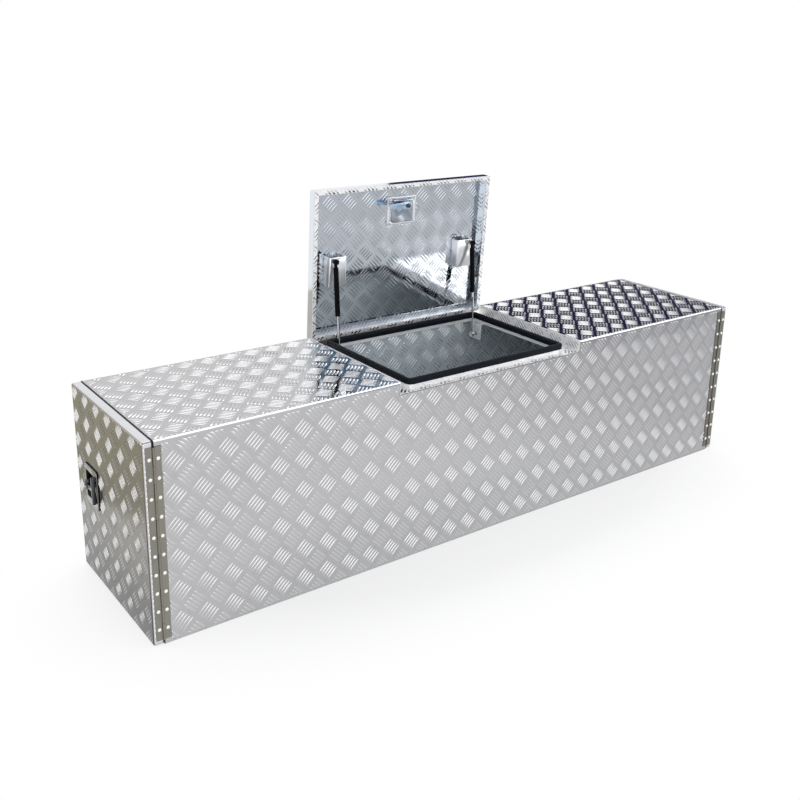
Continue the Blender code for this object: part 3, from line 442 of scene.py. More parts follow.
def make_finishes(colours):
    """Every finish on the box, by its plain name."""
    plate = tuple(colours.plate)
    # painted highlight: this near-white is used for the ledge, the doors' corner strips and the lid's lip
    white = (0.93, 0.93, 0.94)
    # painted shade: near-black on both edges of each door's gap
    seam = (door_seam, (0.02, 0.02, 0.022), 0.30, 0.0)
    # painted light: the front's inner face is a near-white, which the open lid mirrors
    # painted light: the inside faces are paler, bluish and barely metal, standing in for light mirrored round inside
    # the box
    box_zones = ((box_inside, (0.60, 0.655, 0.69), 0.30, 0.1), (front_inside, (0.95, 0.98, 0.98), 0.0, 0.1),
                 # the top bends are near-white: a painted highlight
                 (box_bends, (0.96, 0.96, 0.97), 0.20, 1.0), seam)
    # the doors darken towards their foot: painted shade
    # the doors' folded edges are paler: a painted highlight
    door_zones = ((door_foot, (0.10, 0.10, 0.095), 0.03, 1.0), (door_edges, (0.64, 0.65, 0.68), 0.12, 0.6), seam)
    # the lid's lip and rear fold are near-white: painted highlight
    lid_zones = ((lid_inside, (0.77, 0.81, 0.86), 0.0, 1.0), (lid_lip, white, 0.25, 0.5))
    metals = {  # for each, what metal() takes after its name
        "box sheet": (plate, 0.05, 0.06, (0.6, 1, 1), 420.0, 0.00002, 0.86, 0.0008, 1.0, box_zones),
        # painted highlight: the ledge and the doors' corner strips are pale and half metal, a lit copy of the plate
        "ledge sheet": (white, 0.30, 0.12, EVEN, 420.0, 0.00002, 0.92, 0.0, 0.5),
        "inside bars": ((0.90, 0.96, 1.0), 0.12, 0.08, EVEN, 420.0, 0.00002, 0.95, 0.0, 0.7),
        # painted shade: the doors' plate and bars are darker than the same plate and bars on the box
        "door sheet": (tuple(colours.door), 0.10, 0.10, (1, 1, 0.6), 420.0, 0.00002, 0.80, 0.0010, 1.0, door_zones),
        "door bars": ((0.31, 0.31, 0.31), 0.08, 0.08, EVEN, 700.0, 0.00001, 0.92),
        "lid sheet": (plate, 0.04, 0.05, EVEN, 420.0, 0.00001, 0.88, 0.0005, 1.0, lid_zones),
        "lid bars": ((0.56, 0.60, 0.65), 0.06, 0.06, EVEN, 700.0, 0.00001, 0.92),
        # painted highlight: the bars are paler than the plate they are pressed from
        "tread bars": (scaled(plate, 1.12), 0.12, 0.06, EVEN, 700.0, 0.00001, 0.92),
        "plain aluminium": (tuple(colours.leaf), 0.34, 0.14, (1, 1, 0.06), 1600.0, 0.00003, 0.80),
        "rivet aluminium": ((0.95, 0.95, 0.95), 0.16, 0.10, EVEN, 900.0, 0.00001, 0.82, 0.0, 0.6),
        "stainless steel": (tuple(colours.stainless), 0.09, 0.10, (1, 0.1, 1)),
        "bright steel": ((0.94, 0.94, 0.95), 0.20, 0.12, EVEN, 900.0, 0.00001, 0.82, 0.0, 0.5),
        # painted shade: the door dishes' steel is darker than the lid dish's, standing in for the shade in their
        # hollows
        "dull steel": ((0.36, 0.35, 0.33), 0.09, 0.10, (1, 0.1, 1)),
        "smoky chrome": (tuple(colours.smoky), 0.06, 0.06, EVEN),
        "blue zinc": (tuple(colours.zinc), 0.16, 0.14, EVEN, 500.0, 0.00002, 0.75),
        "pin steel": ((0.45, 0.45, 0.46), 0.28, 0.12, EVEN),
        # painted shade: the door hinge pins are near-black, so the gap between the leaves reads as a shaded line
        "dark pin steel": ((0.03, 0.03, 0.03), 0.30, 0.12, EVEN),
        "strut rod": ((0.85, 0.86, 0.88), 0.06, 0.06, (1, 1, 0.05)),
        "bright aluminium": ((0.93, 0.95, 0.98), 0.16, 0.10, (1, 0.1, 1), 900.0, 0.00001, 0.82, 0.0, 0.65),
    }
    for name, values in metals.items():
        finishes[name] = metal(name, *values)
    finishes["rubber"] = dark_coat("rubber", tuple(colours.rubber), (40.0, 5.0, 0.5, 0.45), 1500.0, 2.0,
                                   (0.34, 0.52), 0.07, (0.00004, 0.5))
    finishes["strut black"] = dark_coat("strut black", tuple(colours.strut), (60.0, 4.0, 0.4, 0.5), 420.0, 3.0,
                                        (0.22, 0.36), 0.05, (0.00003, 0.4))


def both(*names):
    """The names of a left and a right piece for each name."""
    return [side + "_" + name for name in names for side in ("left", "right")]


LOCKS = ("lid_lock", "left_lock", "right_lock")
DOOR_DISHES = both("lock_dish")
STEEL_PARTS = ["lid_lock_dish"] + both("lock_clamp")
LID_CLAMP = ["lid_lock_clamp"] + ["lid_lock_nut_" + str(k) for k in range(1, 5)]
HANDLES = [lock + part for part in ("_handle", "_spindle") for lock in LOCKS]
KEY_PLUGS = [lock + "_key_plug" for lock in LOCKS]
CAMS = [lock + "_cam" for lock in LOCKS]
BRACKETS = both("lid_strut_bracket", "strut_foot_bracket")
SEALS = ["lid_seal"] + both("door_seal")

NODE_FINISHES = {
    "box sheet": ["front_top_sheet", "rear_floor_sheet"],
    "ledge sheet": ["opening_pan"],
    "lid sheet": ["lid"],
    "door sheet": both("door"),
    "plain aluminium": ["lid_hinge_body_leaf", "lid_hinge_lid_leaf"] + both("end_frame", "hinge_body_leaf",
                                                                            "hinge_door_leaf"),
    "rubber": SEALS + [lock + "_gasket" for lock in LOCKS],
    "pin steel": ["lid_hinge_pin"] + both("strut_foot_ball_stud", "strut_head_ball_stud"),
    "dark pin steel": both("hinge_pin"),
    "dull steel": DOOR_DISHES,
    "stainless steel": STEEL_PARTS,
    "bright steel": LID_CLAMP,
    "smoky chrome": HANDLES + KEY_PLUGS,
    "blue zinc": CAMS,
    "strut black": both("strut_tube"),
    "strut rod": both("strut_rod"),
    "bright aluminium": BRACKETS,
}


# Meshes
def object_of(work, name):
    """Turns a bmesh into an object at the origin."""
    mesh = bpy.data.meshes.new(name)
    work.to_mesh(mesh)
    work.free()
    made = bpy.data.objects.new(name, mesh)
    bpy.context.scene.collection.objects.link(made)
    return made


def facing(origin, along, up):
    """A matrix that lays a panel drawn flat on its place, its third axis pointing out."""
    made = Matrix((along, up, along.cross(up))).transposed().to_4x4()
    made.translation = origin
    return made


BAR_ROOT = -0.0003
BAR_STATIONS = (-0.88, -0.50, 0.0, 0.50, 0.88)
BAR_SECTION = ((-1.0, 0.0), (-0.60, 0.74), (0.0, 1.0), (0.60, 0.74), (1.0, 0.0))


def bar_shape(sizes):
    """One raised bar: a low loaf with pointed ends, rooted just under the plate's face."""
    work = bmesh.new()
    half_length = sizes.bar_length / 2
    half_width = sizes.bar_width / 2
    rows = []
    for station in BAR_STATIONS:
        fullness = 1 - station ** 4
        width = half_width * fullness ** 0.6
        height = (sizes.bar_height - BAR_ROOT) * fullness
        rows.append([work.verts.new((station * half_length, across * width, BAR_ROOT + up * height))
                     for across, up in BAR_SECTION])
    tips = [work.verts.new((-half_length, 0, BAR_ROOT)), work.verts.new((half_length, 0, BAR_ROOT))]
    for first, second in zip(rows, rows[1:]):
        for k in range(len(BAR_SECTION) - 1):
            work.faces.new((first[k], second[k], second[k + 1], first[k + 1]))
    for k in range(len(BAR_SECTION) - 1):
        work.faces.new((tips[0], rows[0][k], rows[0][k + 1]))
        work.faces.new((tips[1], rows[-1][k + 1], rows[-1][k]))
    work.faces.new([tips[0]] + [row[-1] for row in rows] + [tips[1]] + [row[0] for row in reversed(rows)])
    bmesh.ops.recalc_face_normals(work, faces=work.faces)
    for face in work.faces:
        face.smooth = True
    for edge in work.edges:
        edge.smooth = not any(len(face.verts) > 4 for face in edge.link_faces)
    return object_of(work, "bar shape")


def new_tree(name, inputs):
    """A Geometry Nodes tree with named inputs, its sockets' identifiers and what it is given."""
    tree = bpy.data.node_groups.new(name, "GeometryNodeTree")
    face = tree.interface
    face.new_socket("Geometry", in_out="OUTPUT", socket_type="NodeSocketGeometry")
    sockets = {}
    for label, kind in inputs:
        sockets[label] = face.new_socket(label, in_out="INPUT", socket_type="NodeSocket" + kind).identifier
    return tree, sockets, add(tree, "NodeGroupInput").outputs


def row_of(tree, shape, count, pitch, axis):
    """Instances of an object in a straight row round the origin, along X (0) or Y (1)."""
    source = add(tree, "GeometryNodeObjectInfo")
    feed(tree, shape, source.inputs["Object"])
    half = math_node(tree, "MULTIPLY", math_node(tree, "SUBTRACT", count, 1.0), -0.5)
    line = add(tree, "GeometryNodeMeshLine", mode="OFFSET")
    feed(tree, count, line.inputs["Count"])
    for target, value in (("Start Location", math_node(tree, "MULTIPLY", half, pitch)), ("Offset", pitch)):
        feed(tree, combined(tree, *([0.0] * axis), value), line.inputs[target])
    placed = add(tree, "GeometryNodeInstanceOnPoints")
    feed(tree, line.outputs["Mesh"], placed.inputs["Points"])
    feed(tree, source.outputs["Geometry"], placed.inputs["Instance"])
    return placed.outputs["Instances"]


def end_tree(tree, instances, material):
    """Makes the instances real, gives them their finish and sends them out."""
    real = add(tree, "GeometryNodeRealizeInstances")
    feed(tree, instances, real.inputs["Geometry"])
    finish = add(tree, "GeometryNodeSetMaterial")
    feed(tree, real.outputs["Geometry"], finish.inputs["Geometry"])
    feed(tree, material, finish.inputs["Material"])
    feed(tree, finish.outputs["Geometry"], add(tree, "NodeGroupOutput").inputs["Geometry"])


def tread_tree():
    """Geometry Nodes: staggered groups of bars, each group turned the other way from its neighbours."""
    sizes = ("Length", "Width", "Pitch Along", "Pitch Across", "Start Along", "Start Across", "Bar Spacing",
             "Group Size")
    tree, sockets, given = new_tree("tread pattern", [("Bar", "Object")] + [(name, "Float") for name in sizes]
                                    + [("Bars in Group", "Int"), ("Finish", "Material")])

    def number(operation, first, second=0.0):
        return math_node(tree, operation, first, second)

    group = row_of(tree, given["Bar"], given["Bars in Group"], given["Bar Spacing"], 1)
    join = add(tree, "GeometryNodeJoinGeometry")
    for turn, shift_share in ((45.0, 0.0), (-45.0, 0.5)):
        ways = []
        for length, pitch, start in (("Length", "Pitch Along", "Start Along"),
                                     ("Width", "Pitch Across", "Start Across")):
            count = number("ADD", number("CEIL", number("DIVIDE", given[length], given[pitch])), 4.0)
            reach = number("MULTIPLY", number("SUBTRACT", count, 1.0), given[pitch])
            shift = number("MULTIPLY", given[pitch], shift_share)
            moved = number("ADD", given[start], shift)
            whole = number("FLOOR", number("DIVIDE", number("SUBTRACT", number("MULTIPLY", reach, -0.5), moved),
                                           given[pitch]))
            low = number("ADD", moved, number("MULTIPLY", whole, given[pitch]))
            ways.append((count, low, reach))
        grid = add(tree, "GeometryNodeMeshGrid")
        for letter, (count, low, reach) in zip("XY", ways):
            feed(tree, reach, grid.inputs["Size " + letter])
            feed(tree, count, grid.inputs["Vertices " + letter])
        moved = add(tree, "GeometryNodeTransform")
        feed(tree, grid.outputs["Mesh"], moved.inputs["Geometry"])
        offsets = [number("ADD", low, number("MULTIPLY", reach, 0.5)) for count, low, reach in ways]
        feed(tree, combined(tree, *offsets), moved.inputs["Translation"])
        placed = add(tree, "GeometryNodeInstanceOnPoints")
        feed(tree, moved.outputs["Geometry"], placed.inputs["Points"])
        feed(tree, group, placed.inputs["Instance"])
        placed.inputs["Rotation"].default_value = (0, 0, math.radians(turn))
        feed(tree, combined(tree, given["Group Size"], given["Group Size"], 1.0), placed.inputs["Scale"])
        feed(tree, placed.outputs["Instances"], join.inputs["Geometry"])
    end_tree(tree, join.outputs["Geometry"], given["Finish"])
    return tree, sockets


def evaluated_mesh(maker):
    """The plain mesh that an object's modifiers give."""
    graph = bpy.context.evaluated_depsgraph_get()
    return bpy.data.meshes.new_from_object(maker.evaluated_get(graph), depsgraph=graph)


def pattern_mesh(name, tree, sockets, values):
    """The plain mesh that a tree makes from the given values."""
    maker = bpy.data.objects.new(name, bpy.data.meshes.new(name))
    bpy.context.scene.collection.objects.link(maker)
    change = maker.modifiers.new(tree.name, "NODES")
    change.node_group = tree
    for label, value in values.items():
        change[sockets[label]] = value
    mesh = evaluated_mesh(maker)
    bpy.data.objects.remove(maker)
    return mesh


def finished(work, name, finish, body):
    """Turns a bmesh into a piece with one finish, which rides on a body."""
    made = object_of(work, name)
    made.data.materials.append(finishes[finish])
    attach(made, body)


def cut_at(work, axis, limit, way=1, clear_outer=False):
    """Cuts the pattern along one side of a rectangle, and lists the new edges."""
    point, normal = Vector(), Vector()
    point[axis], normal[axis] = limit, way
    cut = bmesh.ops.bisect_plane(work, geom=work.verts[:] + work.edges[:] + work.faces[:], plane_co=point,
                                 plane_no=normal, clear_outer=clear_outer, dist=CUT_DISTANCE)
    return [item for item in cut["geom_cut"] if isinstance(item, bmesh.types.BMEdge)]


def clip(work, low, high):
    """Cuts everything off outside a flat rectangle, and closes the cut bars."""
    for axis in (0, 1):
        for limit, way in ((low[axis], -1), (high[axis], 1)):
            edges = cut_at(work, axis, limit, way, True)
            if edges:
                bmesh.ops.holes_fill(work, edges=edges, sides=0)


def clear_rectangle(work, low, high):
    """Cuts a rectangle out of the pattern, and closes the cut bars."""
    for axis in (0, 1):
        for limit in (low[axis], high[axis]):
            cut_at(work, axis, limit)
    inside = []
    for face in work.faces:
        middle = face.calc_center_median()
        if low[0] < middle.x < high[0] and low[1] < middle.y < high[1]:
            inside.append(face)
    edges = {edge for face in inside for edge in face.edges}
    bmesh.ops.delete(work, geom=inside, context="FACES")
    cuts = [edge for edge in edges if edge.is_valid and edge.is_boundary]
    if cuts:
        bmesh.ops.holes_fill(work, edges=cuts, sides=0)


class Panel(NamedTuple):
    """A flat face that carries the tread pattern, with the rectangles in it that stay clear."""

    place: Matrix
    low: tuple
    high: tuple
    pitch: tuple
    start: tuple
    clear: list = []
    height_share: float = 1.0
    group_size: float = 1.0


def tread_on(name, body, panels, finish, sizes, bar, tree, sockets):
    """Makes one body's tread bars as one plain mesh, and rides it on the body."""
    gathered = bmesh.new()
    for panel in panels:
        middle = [(a + b) / 2 for a, b in zip(panel.low, panel.high)]
        reach = [b - a for a, b in zip(panel.low, panel.high)]
        values = {"Bar": bar, "Length": reach[0], "Width": reach[1], "Pitch Along": panel.pitch[0],
                  "Pitch Across": panel.pitch[1], "Start Along": panel.start[0] - middle[0],
                  "Start Across": panel.start[1] - middle[1], "Bar Spacing": sizes.bar_spacing,
                  "Bars in Group": sizes.bars_in_group, "Group Size": panel.group_size,
                  "Finish": finishes[finish]}
        mesh = pattern_mesh(name, tree, sockets, values)
        work = bmesh.new()
        work.from_mesh(mesh)
        bmesh.ops.transform(work, verts=work.verts, matrix=Matrix.Translation((*middle, 0)))
        bmesh.ops.scale(work, verts=work.verts, vec=(1, 1, panel.height_share))
        clip(work, panel.low, panel.high)
        for low, high in panel.clear:
            clear_rectangle(work, low, high)
        bmesh.ops.transform(work, verts=work.verts, matrix=panel.place)
        work.to_mesh(mesh)
        work.free()
        gathered.from_mesh(mesh)
    finished(gathered, name, finish, body)


# Where the tread pattern starts and ends, how far it keeps from bends, and how high its lower bars are
SIDES = (("left", -1), ("right", 1))
FRONT_START = (-0.9292, 0.4405)
TOP_START = (-0.909, -0.1791)
WALL_START = (0.01, 0.4405)
LID_INNER_START = (0.012, 0.02)
LIP_START = (0.03, 0.02)
DOOR_START = (0.0563, 0.042)
DOOR_PITCH = (0.0741, 0.0629)
DOOR_GROUP = 0.84
EDGE = 0.0045
INNER_EDGE = 0.004
LIP_EDGE = 0.0008
LEAF_EDGE = 0.0008
RECESS_LIP = 0.0035
SHELL_EDGE = 0.001
RECESS_EDGE = 0.002
TOP_EDGE = 0.0055
REAR_LEAF_FOOT = 0.4405
LEDGE_EDGES = (0.005, 0.003)
INSIDE_HALF = (0.963, 0.217)
INSIDE_FOOT = 0.008
INSIDE_TOP = 0.4635
WALL_HALF = 0.219
WALL_GAP = 0.0003
DOOR_PANEL_FOOT = 0.0065
CORNER_STRIP = (0.9938, 0.9962)
LEDGE_BARS = 0.5
LIP_BARS = 0.35
LID_INNER_BARS = 0.24
DOOR_INNER_BARS = 0.75
DOOR_CORNER_BARS = 0.8


def level(z, up=ALONG_Y):
    """The place of a flat panel at a height, facing up, or down where its second axis is turned round."""
    return facing(Vector((0, 0, z)), ALONG_X, up)


def even(across, up):
    """The two corners of a rectangle round the origin."""
    return (-across, -up), (across, up)


def around(centre, half):
    """The two corners of a rectangle round a point."""
    return tuple(a - b for a, b in zip(centre, half)), tuple(a + b for a, b in zip(centre, half))


def lid_panels(flat, top_start):
    """The pattern on the lid's outer face, on its inner face and on its lip."""
    outside = Panel(LID_OPENED @ level(LID_TOP), *even(LID_HALF_WIDTH - EDGE, LID_HALF_DEPTH - EDGE), flat, top_start,
                    [around((0.0, LID_LOCK_Y), DISH_HALF)])
    near, far = BRACKET_ENDS
    hidden = [((low, BRACKET_SIDES[0]), (high, BRACKET_SIDES[1])) for low, high in ((-far, -near), (near, far))]
    inside = Panel(LID_OPENED @ level(LID_TOP - SHEET, -ALONG_Y),
                   *even(LID_HALF_WIDTH - INNER_EDGE, LID_HALF_DEPTH - INNER_EDGE), flat, LID_INNER_START,
                   [around((0.0, -LID_LOCK_Y), CLAMP_HALF)] + hidden, LID_INNER_BARS)
    opening = even(LID_HALF_WIDTH - LID_LIP + LIP_MARGIN, LID_HALF_DEPTH - LID_LIP + LIP_MARGIN)
    lip = Panel(LID_OPENED @ level(LID_TOP - LID_SKIRT, -ALONG_Y),
                *even(LID_HALF_WIDTH - LIP_EDGE, LID_HALF_DEPTH - LIP_EDGE), flat, LIP_START, [opening], LIP_BARS)
    return {"tread_on_lid": ("lid", [outside], "tread bars"), "tread_in_lid": ("lid", [inside], "lid bars"),
            "tread_on_lip": ("lid", [lip], "tread bars")}


def door_panels(name, side):
    """The pattern on a door's outer and inner face, and on its folded front edge."""
    start = (side * DOOR_START[0] + DOOR_PITCH[0] / 2, DOOR_START[1] + DOOR_PITCH[1] / 2)
    faces = []
    for x, way, margin, hole, height in ((HALF_LENGTH, side, EDGE, DISH_HALF, 1.0),
                                         (HALF_LENGTH - SHEET, -side, INNER_EDGE, CLAMP_HALF, DOOR_INNER_BARS)):
        faces.append(Panel(facing(Vector((side * x, 0, 0)), ALONG_Y * way, ALONG_Z),
                           (-HALF_DEPTH + margin, DOOR_PANEL_FOOT), (HALF_DEPTH - margin, HEIGHT - margin),
                           DOOR_PITCH, start, [around((way * DOOR_LOCK[0], DOOR_LOCK[1]), hole[::-1])], height,
                           DOOR_GROUP))
    low, high = sorted(side * end for end in CORNER_STRIP)
    middle = sum(CORNER_STRIP) / 2
    corner = Panel(facing(Vector((0, -HALF_DEPTH, 0)), ALONG_X, ALONG_Z), (low, INSIDE_FOOT), (high, HEIGHT - EDGE),
                   (DOOR_PITCH[1], DOOR_PITCH[1]), (side * middle, DOOR_START[1]), [], DOOR_CORNER_BARS)
    body = name + "_door"
    return {"tread_on_" + body: (body, faces, "door bars"),
            # the corner strip's bars are pale: painted highlight
            "tread_on_" + body + "_edge": (body, [corner], "ledge sheet")}


def tread_panels(sizes):
    """Where the pattern lies on each body, with its pitch, its start and the places that it leaves clear."""
    upright = (sizes.pitch_along, sizes.pitch_up)
    flat = (sizes.pitch_along, sizes.pitch_back)
    top_start = tuple(start + pitch / 2 for start, pitch in zip(TOP_START, flat))
    leaf_end = DOOR_LINE - LEAF_WIDTH - LEAF_EDGE
    shell_end = SHELL_END - SHELL_EDGE
    recess = RECESS_HALF + RECESS_EDGE
    front = Panel(facing(Vector((0, -HALF_DEPTH, 0)), ALONG_X, ALONG_Z), (-leaf_end, EDGE),
                  (leaf_end, HEIGHT - 2 * EDGE), upright, FRONT_START,
                  [((-recess, LEDGE_TOP - RECESS_LIP), (recess, HEIGHT))])
    rear = Panel(facing(Vector((0, HALF_DEPTH, 0)), -ALONG_X, ALONG_Z), (-shell_end, EDGE),
                 (shell_end, HEIGHT - EDGE), upright, FRONT_START,
                 [((-recess, REAR_LEAF_FOOT), (recess, HEIGHT))])
    tops = [Panel(level(HEIGHT), (low, -HALF_DEPTH + TOP_EDGE), (high, HALF_DEPTH - TOP_EDGE), flat, top_start)
            for low, high in ((-shell_end, -recess), (recess, shell_end))]
    ledge = Panel(level(LEDGE_TOP), *even(RECESS_HALF - LEDGE_EDGES[0], HALF_DEPTH - LEDGE_EDGES[1]), flat, top_start,
                  [even(*SEAL_HALF)], LEDGE_BARS)
    walls = [Panel(facing(Vector((side * (RECESS_HALF - WALL_GAP - SHEET), 0, 0)), ALONG_Y * -side, ALONG_Z),
                   (-WALL_HALF, LEDGE_TOP + LEDGE_EDGES[0]), (WALL_HALF, HEIGHT - SHELL_EDGE),
                   (sizes.pitch_back, sizes.pitch_up), WALL_START) for name, side in SIDES]
    rear_inside = Panel(facing(Vector((0, HALF_DEPTH - SHEET, 0)), ALONG_X, ALONG_Z), (-INSIDE_HALF[0], INSIDE_FOOT),
                        (INSIDE_HALF[0], INSIDE_TOP), upright, FRONT_START)
    floor_inside = Panel(level(SHEET), *even(*INSIDE_HALF), flat, top_start)
    panels = {"tread_on_box": ("base", [front] + tops, "tread bars"),
              "tread_on_rear": ("base", [rear], "tread bars"),
              "tread_on_ledge": ("base", [ledge] + walls, "tread bars"),
              "tread_inside": ("base", [rear_inside, floor_inside], "inside bars")}
    panels.update(lid_panels(flat, top_start))
    for name, side in SIDES:
        panels.update(door_panels(name, side))
    return panels


# Rivets
RIVET_SIDES = 14
RIVET_RADIUS = 0.0047
RIVET_PROFILE = ((1.0, -0.0002), (1.0, 0.0004), (0.94, 0.0011), (0.74, 0.0020), (0.38, 0.00258), (0.20, 0.00266))
CORNER_RIVETS = 10
REAR_RIVETS = 12
ROW_FROM_LINE = 0.010
BODY_ROW_BELOW_PIN = 0.025
LID_ROW_ABOVE_PIN = 0.011


def rivet_shape():
    """A domed rivet head, low enough to clear the other leaf's heads when a door is fully open."""
    work = bmesh.new()
    rings = []
    for share, height in RIVET_PROFILE:
        radius = RIVET_RADIUS * share
        angles = [math.tau * k / RIVET_SIDES for k in range(RIVET_SIDES)]
        rings.append([work.verts.new((radius * math.cos(angle), radius * math.sin(angle), height))
                      for angle in angles])
    for low, high in zip(rings, rings[1:]):
        for k in range(RIVET_SIDES):
            j = (k + 1) % RIVET_SIDES
            work.faces.new((low[k], low[j], high[j], high[k]))
    work.faces.new(rings[-1])
    work.faces.new(list(reversed(rings[0])))
    bmesh.ops.recalc_face_normals(work, faces=work.faces)
    for face in work.faces:
        face.smooth = len(face.verts) == 4
    return object_of(work, "rivet shape")


def rivet_tree():
    """Geometry Nodes: one straight row of rivet heads."""
    tree, sockets, given = new_tree("rivet row", (("Rivet", "Object"), ("Count", "Int"), ("Pitch", "Float"),
                                                  ("Finish", "Material")))
    end_tree(tree, row_of(tree, given["Rivet"], given["Count"], given["Pitch"], 0), given["Finish"])
    return tree, sockets


def rivets_on(name, body, rows, rivet, tree, sockets):
    """Makes a body's rivet rows as one plain mesh, and rides it on the body."""
    gathered = bmesh.new()
    for count, place in rows:
        values = {"Rivet": rivet, "Count": count, "Pitch": RIVET_PITCH, "Finish": finishes["rivet aluminium"]}
        mesh = pattern_mesh(name, tree, sockets, values)
        mesh.transform(place)
        gathered.from_mesh(mesh)
    finished(gathered, name, "rivet aluminium", body)


# Rounded hardware
ROUNDED_NODES = (("dull steel", 0.0006, DOOR_DISHES), ("stainless steel", 0.0006, STEEL_PARTS),
                 ("bright steel", 0.0006, LID_CLAMP), ("smoky chrome", 0.0008, HANDLES),
                 ("smoky chrome", 0.0004, KEY_PLUGS), ("blue zinc", 0.0005, CAMS),
                 ("bright aluminium", 0.0008, BRACKETS), ("rubber", 0.0012, SEALS))
SMOOTH_ANGLE = math.radians(32)


def rounded_copy(node, width, finish):
    """A finished copy of a solid, its flat faces made whole, its edges rounded and its round faces smooth."""
    solid = frame["nodes"][node]
    work = bmesh.new()
    work.from_mesh(solid.data)
    bmesh.ops.remove_doubles(work, verts=work.verts, dist=0.000002)
    bmesh.ops.dissolve_limit(work, angle_limit=math.radians(0.4), verts=work.verts, edges=work.edges)
    for face in work.faces:
        face.smooth = True
    maker = object_of(work, node + "_rounded")
    bevel = maker.modifiers.new("edges", "BEVEL")
    bevel.width = width
    bevel.segments = 2
    bevel.limit_method = "ANGLE"
    bevel.angle_limit = SMOOTH_ANGLE
    bevel.harden_normals = True
    mesh = evaluated_mesh(maker)
    maker.modifiers.clear()
    maker.data = mesh
    mesh.materials.clear()
    mesh.materials.append(finishes[finish])
    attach(maker, solid.parent.name.removeprefix("body:"))
    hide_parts(node)


# Operators
class BOX_OT_finishes(bpy.types.Operator):
    """Give every solid its finish"""

    bl_idname = "toolbox.finishes"
    bl_label = "Finishes"

    def execute(self, context):
        make_finishes(context.scene.finish_colours)
        for finish, nodes in NODE_FINISHES.items():
            for node in nodes:
                mesh = frame["nodes"][node].data
                mesh.materials.clear()
                mesh.materials.append(finishes[finish])
        return {"FINISHED"}


class BOX_OT_tread(bpy.types.Operator):
    """Raise the tread bars on the sheets, the lid and the doors"""

    bl_idname = "toolbox.tread"
    bl_label = "Tread Bars"

    def execute(self, context):
        sizes = context.scene.tread_sizes
        bar = bar_shape(sizes)
        tree, sockets = tread_tree()
        for name, (body, panels, finish) in tread_panels(sizes).items():
            tread_on(name, body, panels, finish, sizes, bar, tree, sockets)
        bpy.data.objects.remove(bar)
        return {"FINISHED"}


class BOX_OT_rivets(bpy.types.Operator):
    """Set the domed rivets on every hinge leaf"""

    bl_idname = "toolbox.rivets"
    bl_label = "Rivets"

    def execute(self, context):
        rivet = rivet_shape()
        tree, sockets = rivet_tree()
        rows_on_box = []
        for name, side in SIDES:
            on_door, on_box = [(CORNER_RIVETS, facing(Vector((side * (DOOR_LINE + shift), -HALF_DEPTH - LEAF_FACE,
                                                              HEIGHT / 2)), ALONG_Z, -ALONG_X))
                               for shift in (ROW_FROM_LINE, -ROW_FROM_LINE)]
            rivets_on("rivets_on_" + name + "_door", name + "_door", [on_door], rivet, tree, sockets)
            rows_on_box.append(on_box)
        body_row = facing(Vector((0, HALF_DEPTH + LEAF_FACE, LID_PIN.z - BODY_ROW_BELOW_PIN)), -ALONG_X, ALONG_Z)
        rows_on_box.append((REAR_RIVETS, body_row))
        rivets_on("rivets_on_box", "base", rows_on_box, rivet, tree, sockets)
        lid_row = facing(Vector((0, LID_HALF_DEPTH + LEAF_FACE, LID_PIN.z + LID_ROW_ABOVE_PIN)), -ALONG_X, ALONG_Z)
        rivets_on("rivets_on_lid", "lid", [(REAR_RIVETS, LID_OPENED @ lid_row)], rivet, tree, sockets)
        bpy.data.objects.remove(rivet)
        return {"FINISHED"}


class BOX_OT_hardware(bpy.types.Operator):
    """Round the edges of the locks, the brackets and the seals"""

    bl_idname = "toolbox.hardware"
    bl_label = "Hardware"

    def execute(self, context):
        for finish, width, nodes in ROUNDED_NODES:
            for node in nodes:
                rounded_copy(node, width, finish)
        return {"FINISHED"}


class BOX_OT_stage(bpy.types.Operator):
    """Set the floor, the light and the camera"""

    bl_idname = "toolbox.stage"
    bl_label = "Stage"

    def execute(self, context):
        settings = context.scene.stage_settings
        make_floor(settings)
        make_world()
        make_cards()
        make_lights(settings)
        make_camera(settings)
        context.scene.view_settings.view_transform = "Standard"
        return {"FINISHED"}


# Stage
FLOOR_RADIUS = 9.0
FLOOR_SIDES = 96
FLOOR_STRETCH = (0.55, 1.0, 1.0)
FADE_SPAN = (0.42, 0.72)
DIM_SPAN = (0.2, 1.2)
WHITE = (1.0, 1.0, 1.0)
DIMMED = (0.76, 0.76, 0.77)
SKY_LIGHT = (0.90, 0.91, 0.92)
LOW = 0.002
CARDS = (
    ("dark card behind", (0.030, 0.033, 0.085),
     [(6.2, 2.9, 1.75), (3.9, 5.6, 1.75), (3.9, 5.6, 3.4), (6.2, 2.9, 3.4)]),
    ("dark card ahead", (0.12, 0.20, 0.30),
     [(1.1, -3.05, 0.95), (2.35, -2.6, 0.95), (2.35, -2.6, 2.0), (1.1, -3.05, 2.0)]),
    ("grey card", (0.52, 0.52, 0.53),
     [(0.75, -1.35, LOW), (2.0, -1.15, LOW), (3.4, -1.5, LOW), (3.4, -3.2, LOW), (0.9, -3.0, LOW)]),
    ("olive card", (0.52, 0.50, 0.42),
     [(-1.42, -0.35, LOW), (-1.25, 0.17, LOW), (-1.11, 0.72, LOW), (-0.89, 1.56, LOW), (-0.70, 2.32, LOW),
      (-2.6, 2.32, LOW), (-2.6, -0.35, LOW)]),
)
SOFT_BOXES = (
    ("front soft box", (0.5, -4.8, 0.9), (0.4, 0, 0.5), 6.0, 1.6, "front_power"),
    ("top soft box", (1.3, 2.3, 4.2), (0.6, 0, 0.5), 4.4, 2.0, "top_power"),
    ("lid soft box", (2.25, -1.8, 1.42), (0.5, 0, 0.5), 1.2, 0.6, "lid_power"),
    ("door soft box", (-2.9, 1.1, 0.46), (-1.0, 0, 0.4), 2.0, 0.9, "door_power"),
)
SENSOR_WIDTH = 36.0
LENS_SHIFT = (-0.0075, -0.0916)
CAMERA_REACH = 100.0
CAMERA_PLACE = (-1.698, -2.092, 1.3469)
CAMERA_TURN = (1.2779, -0.0188, -0.6343)


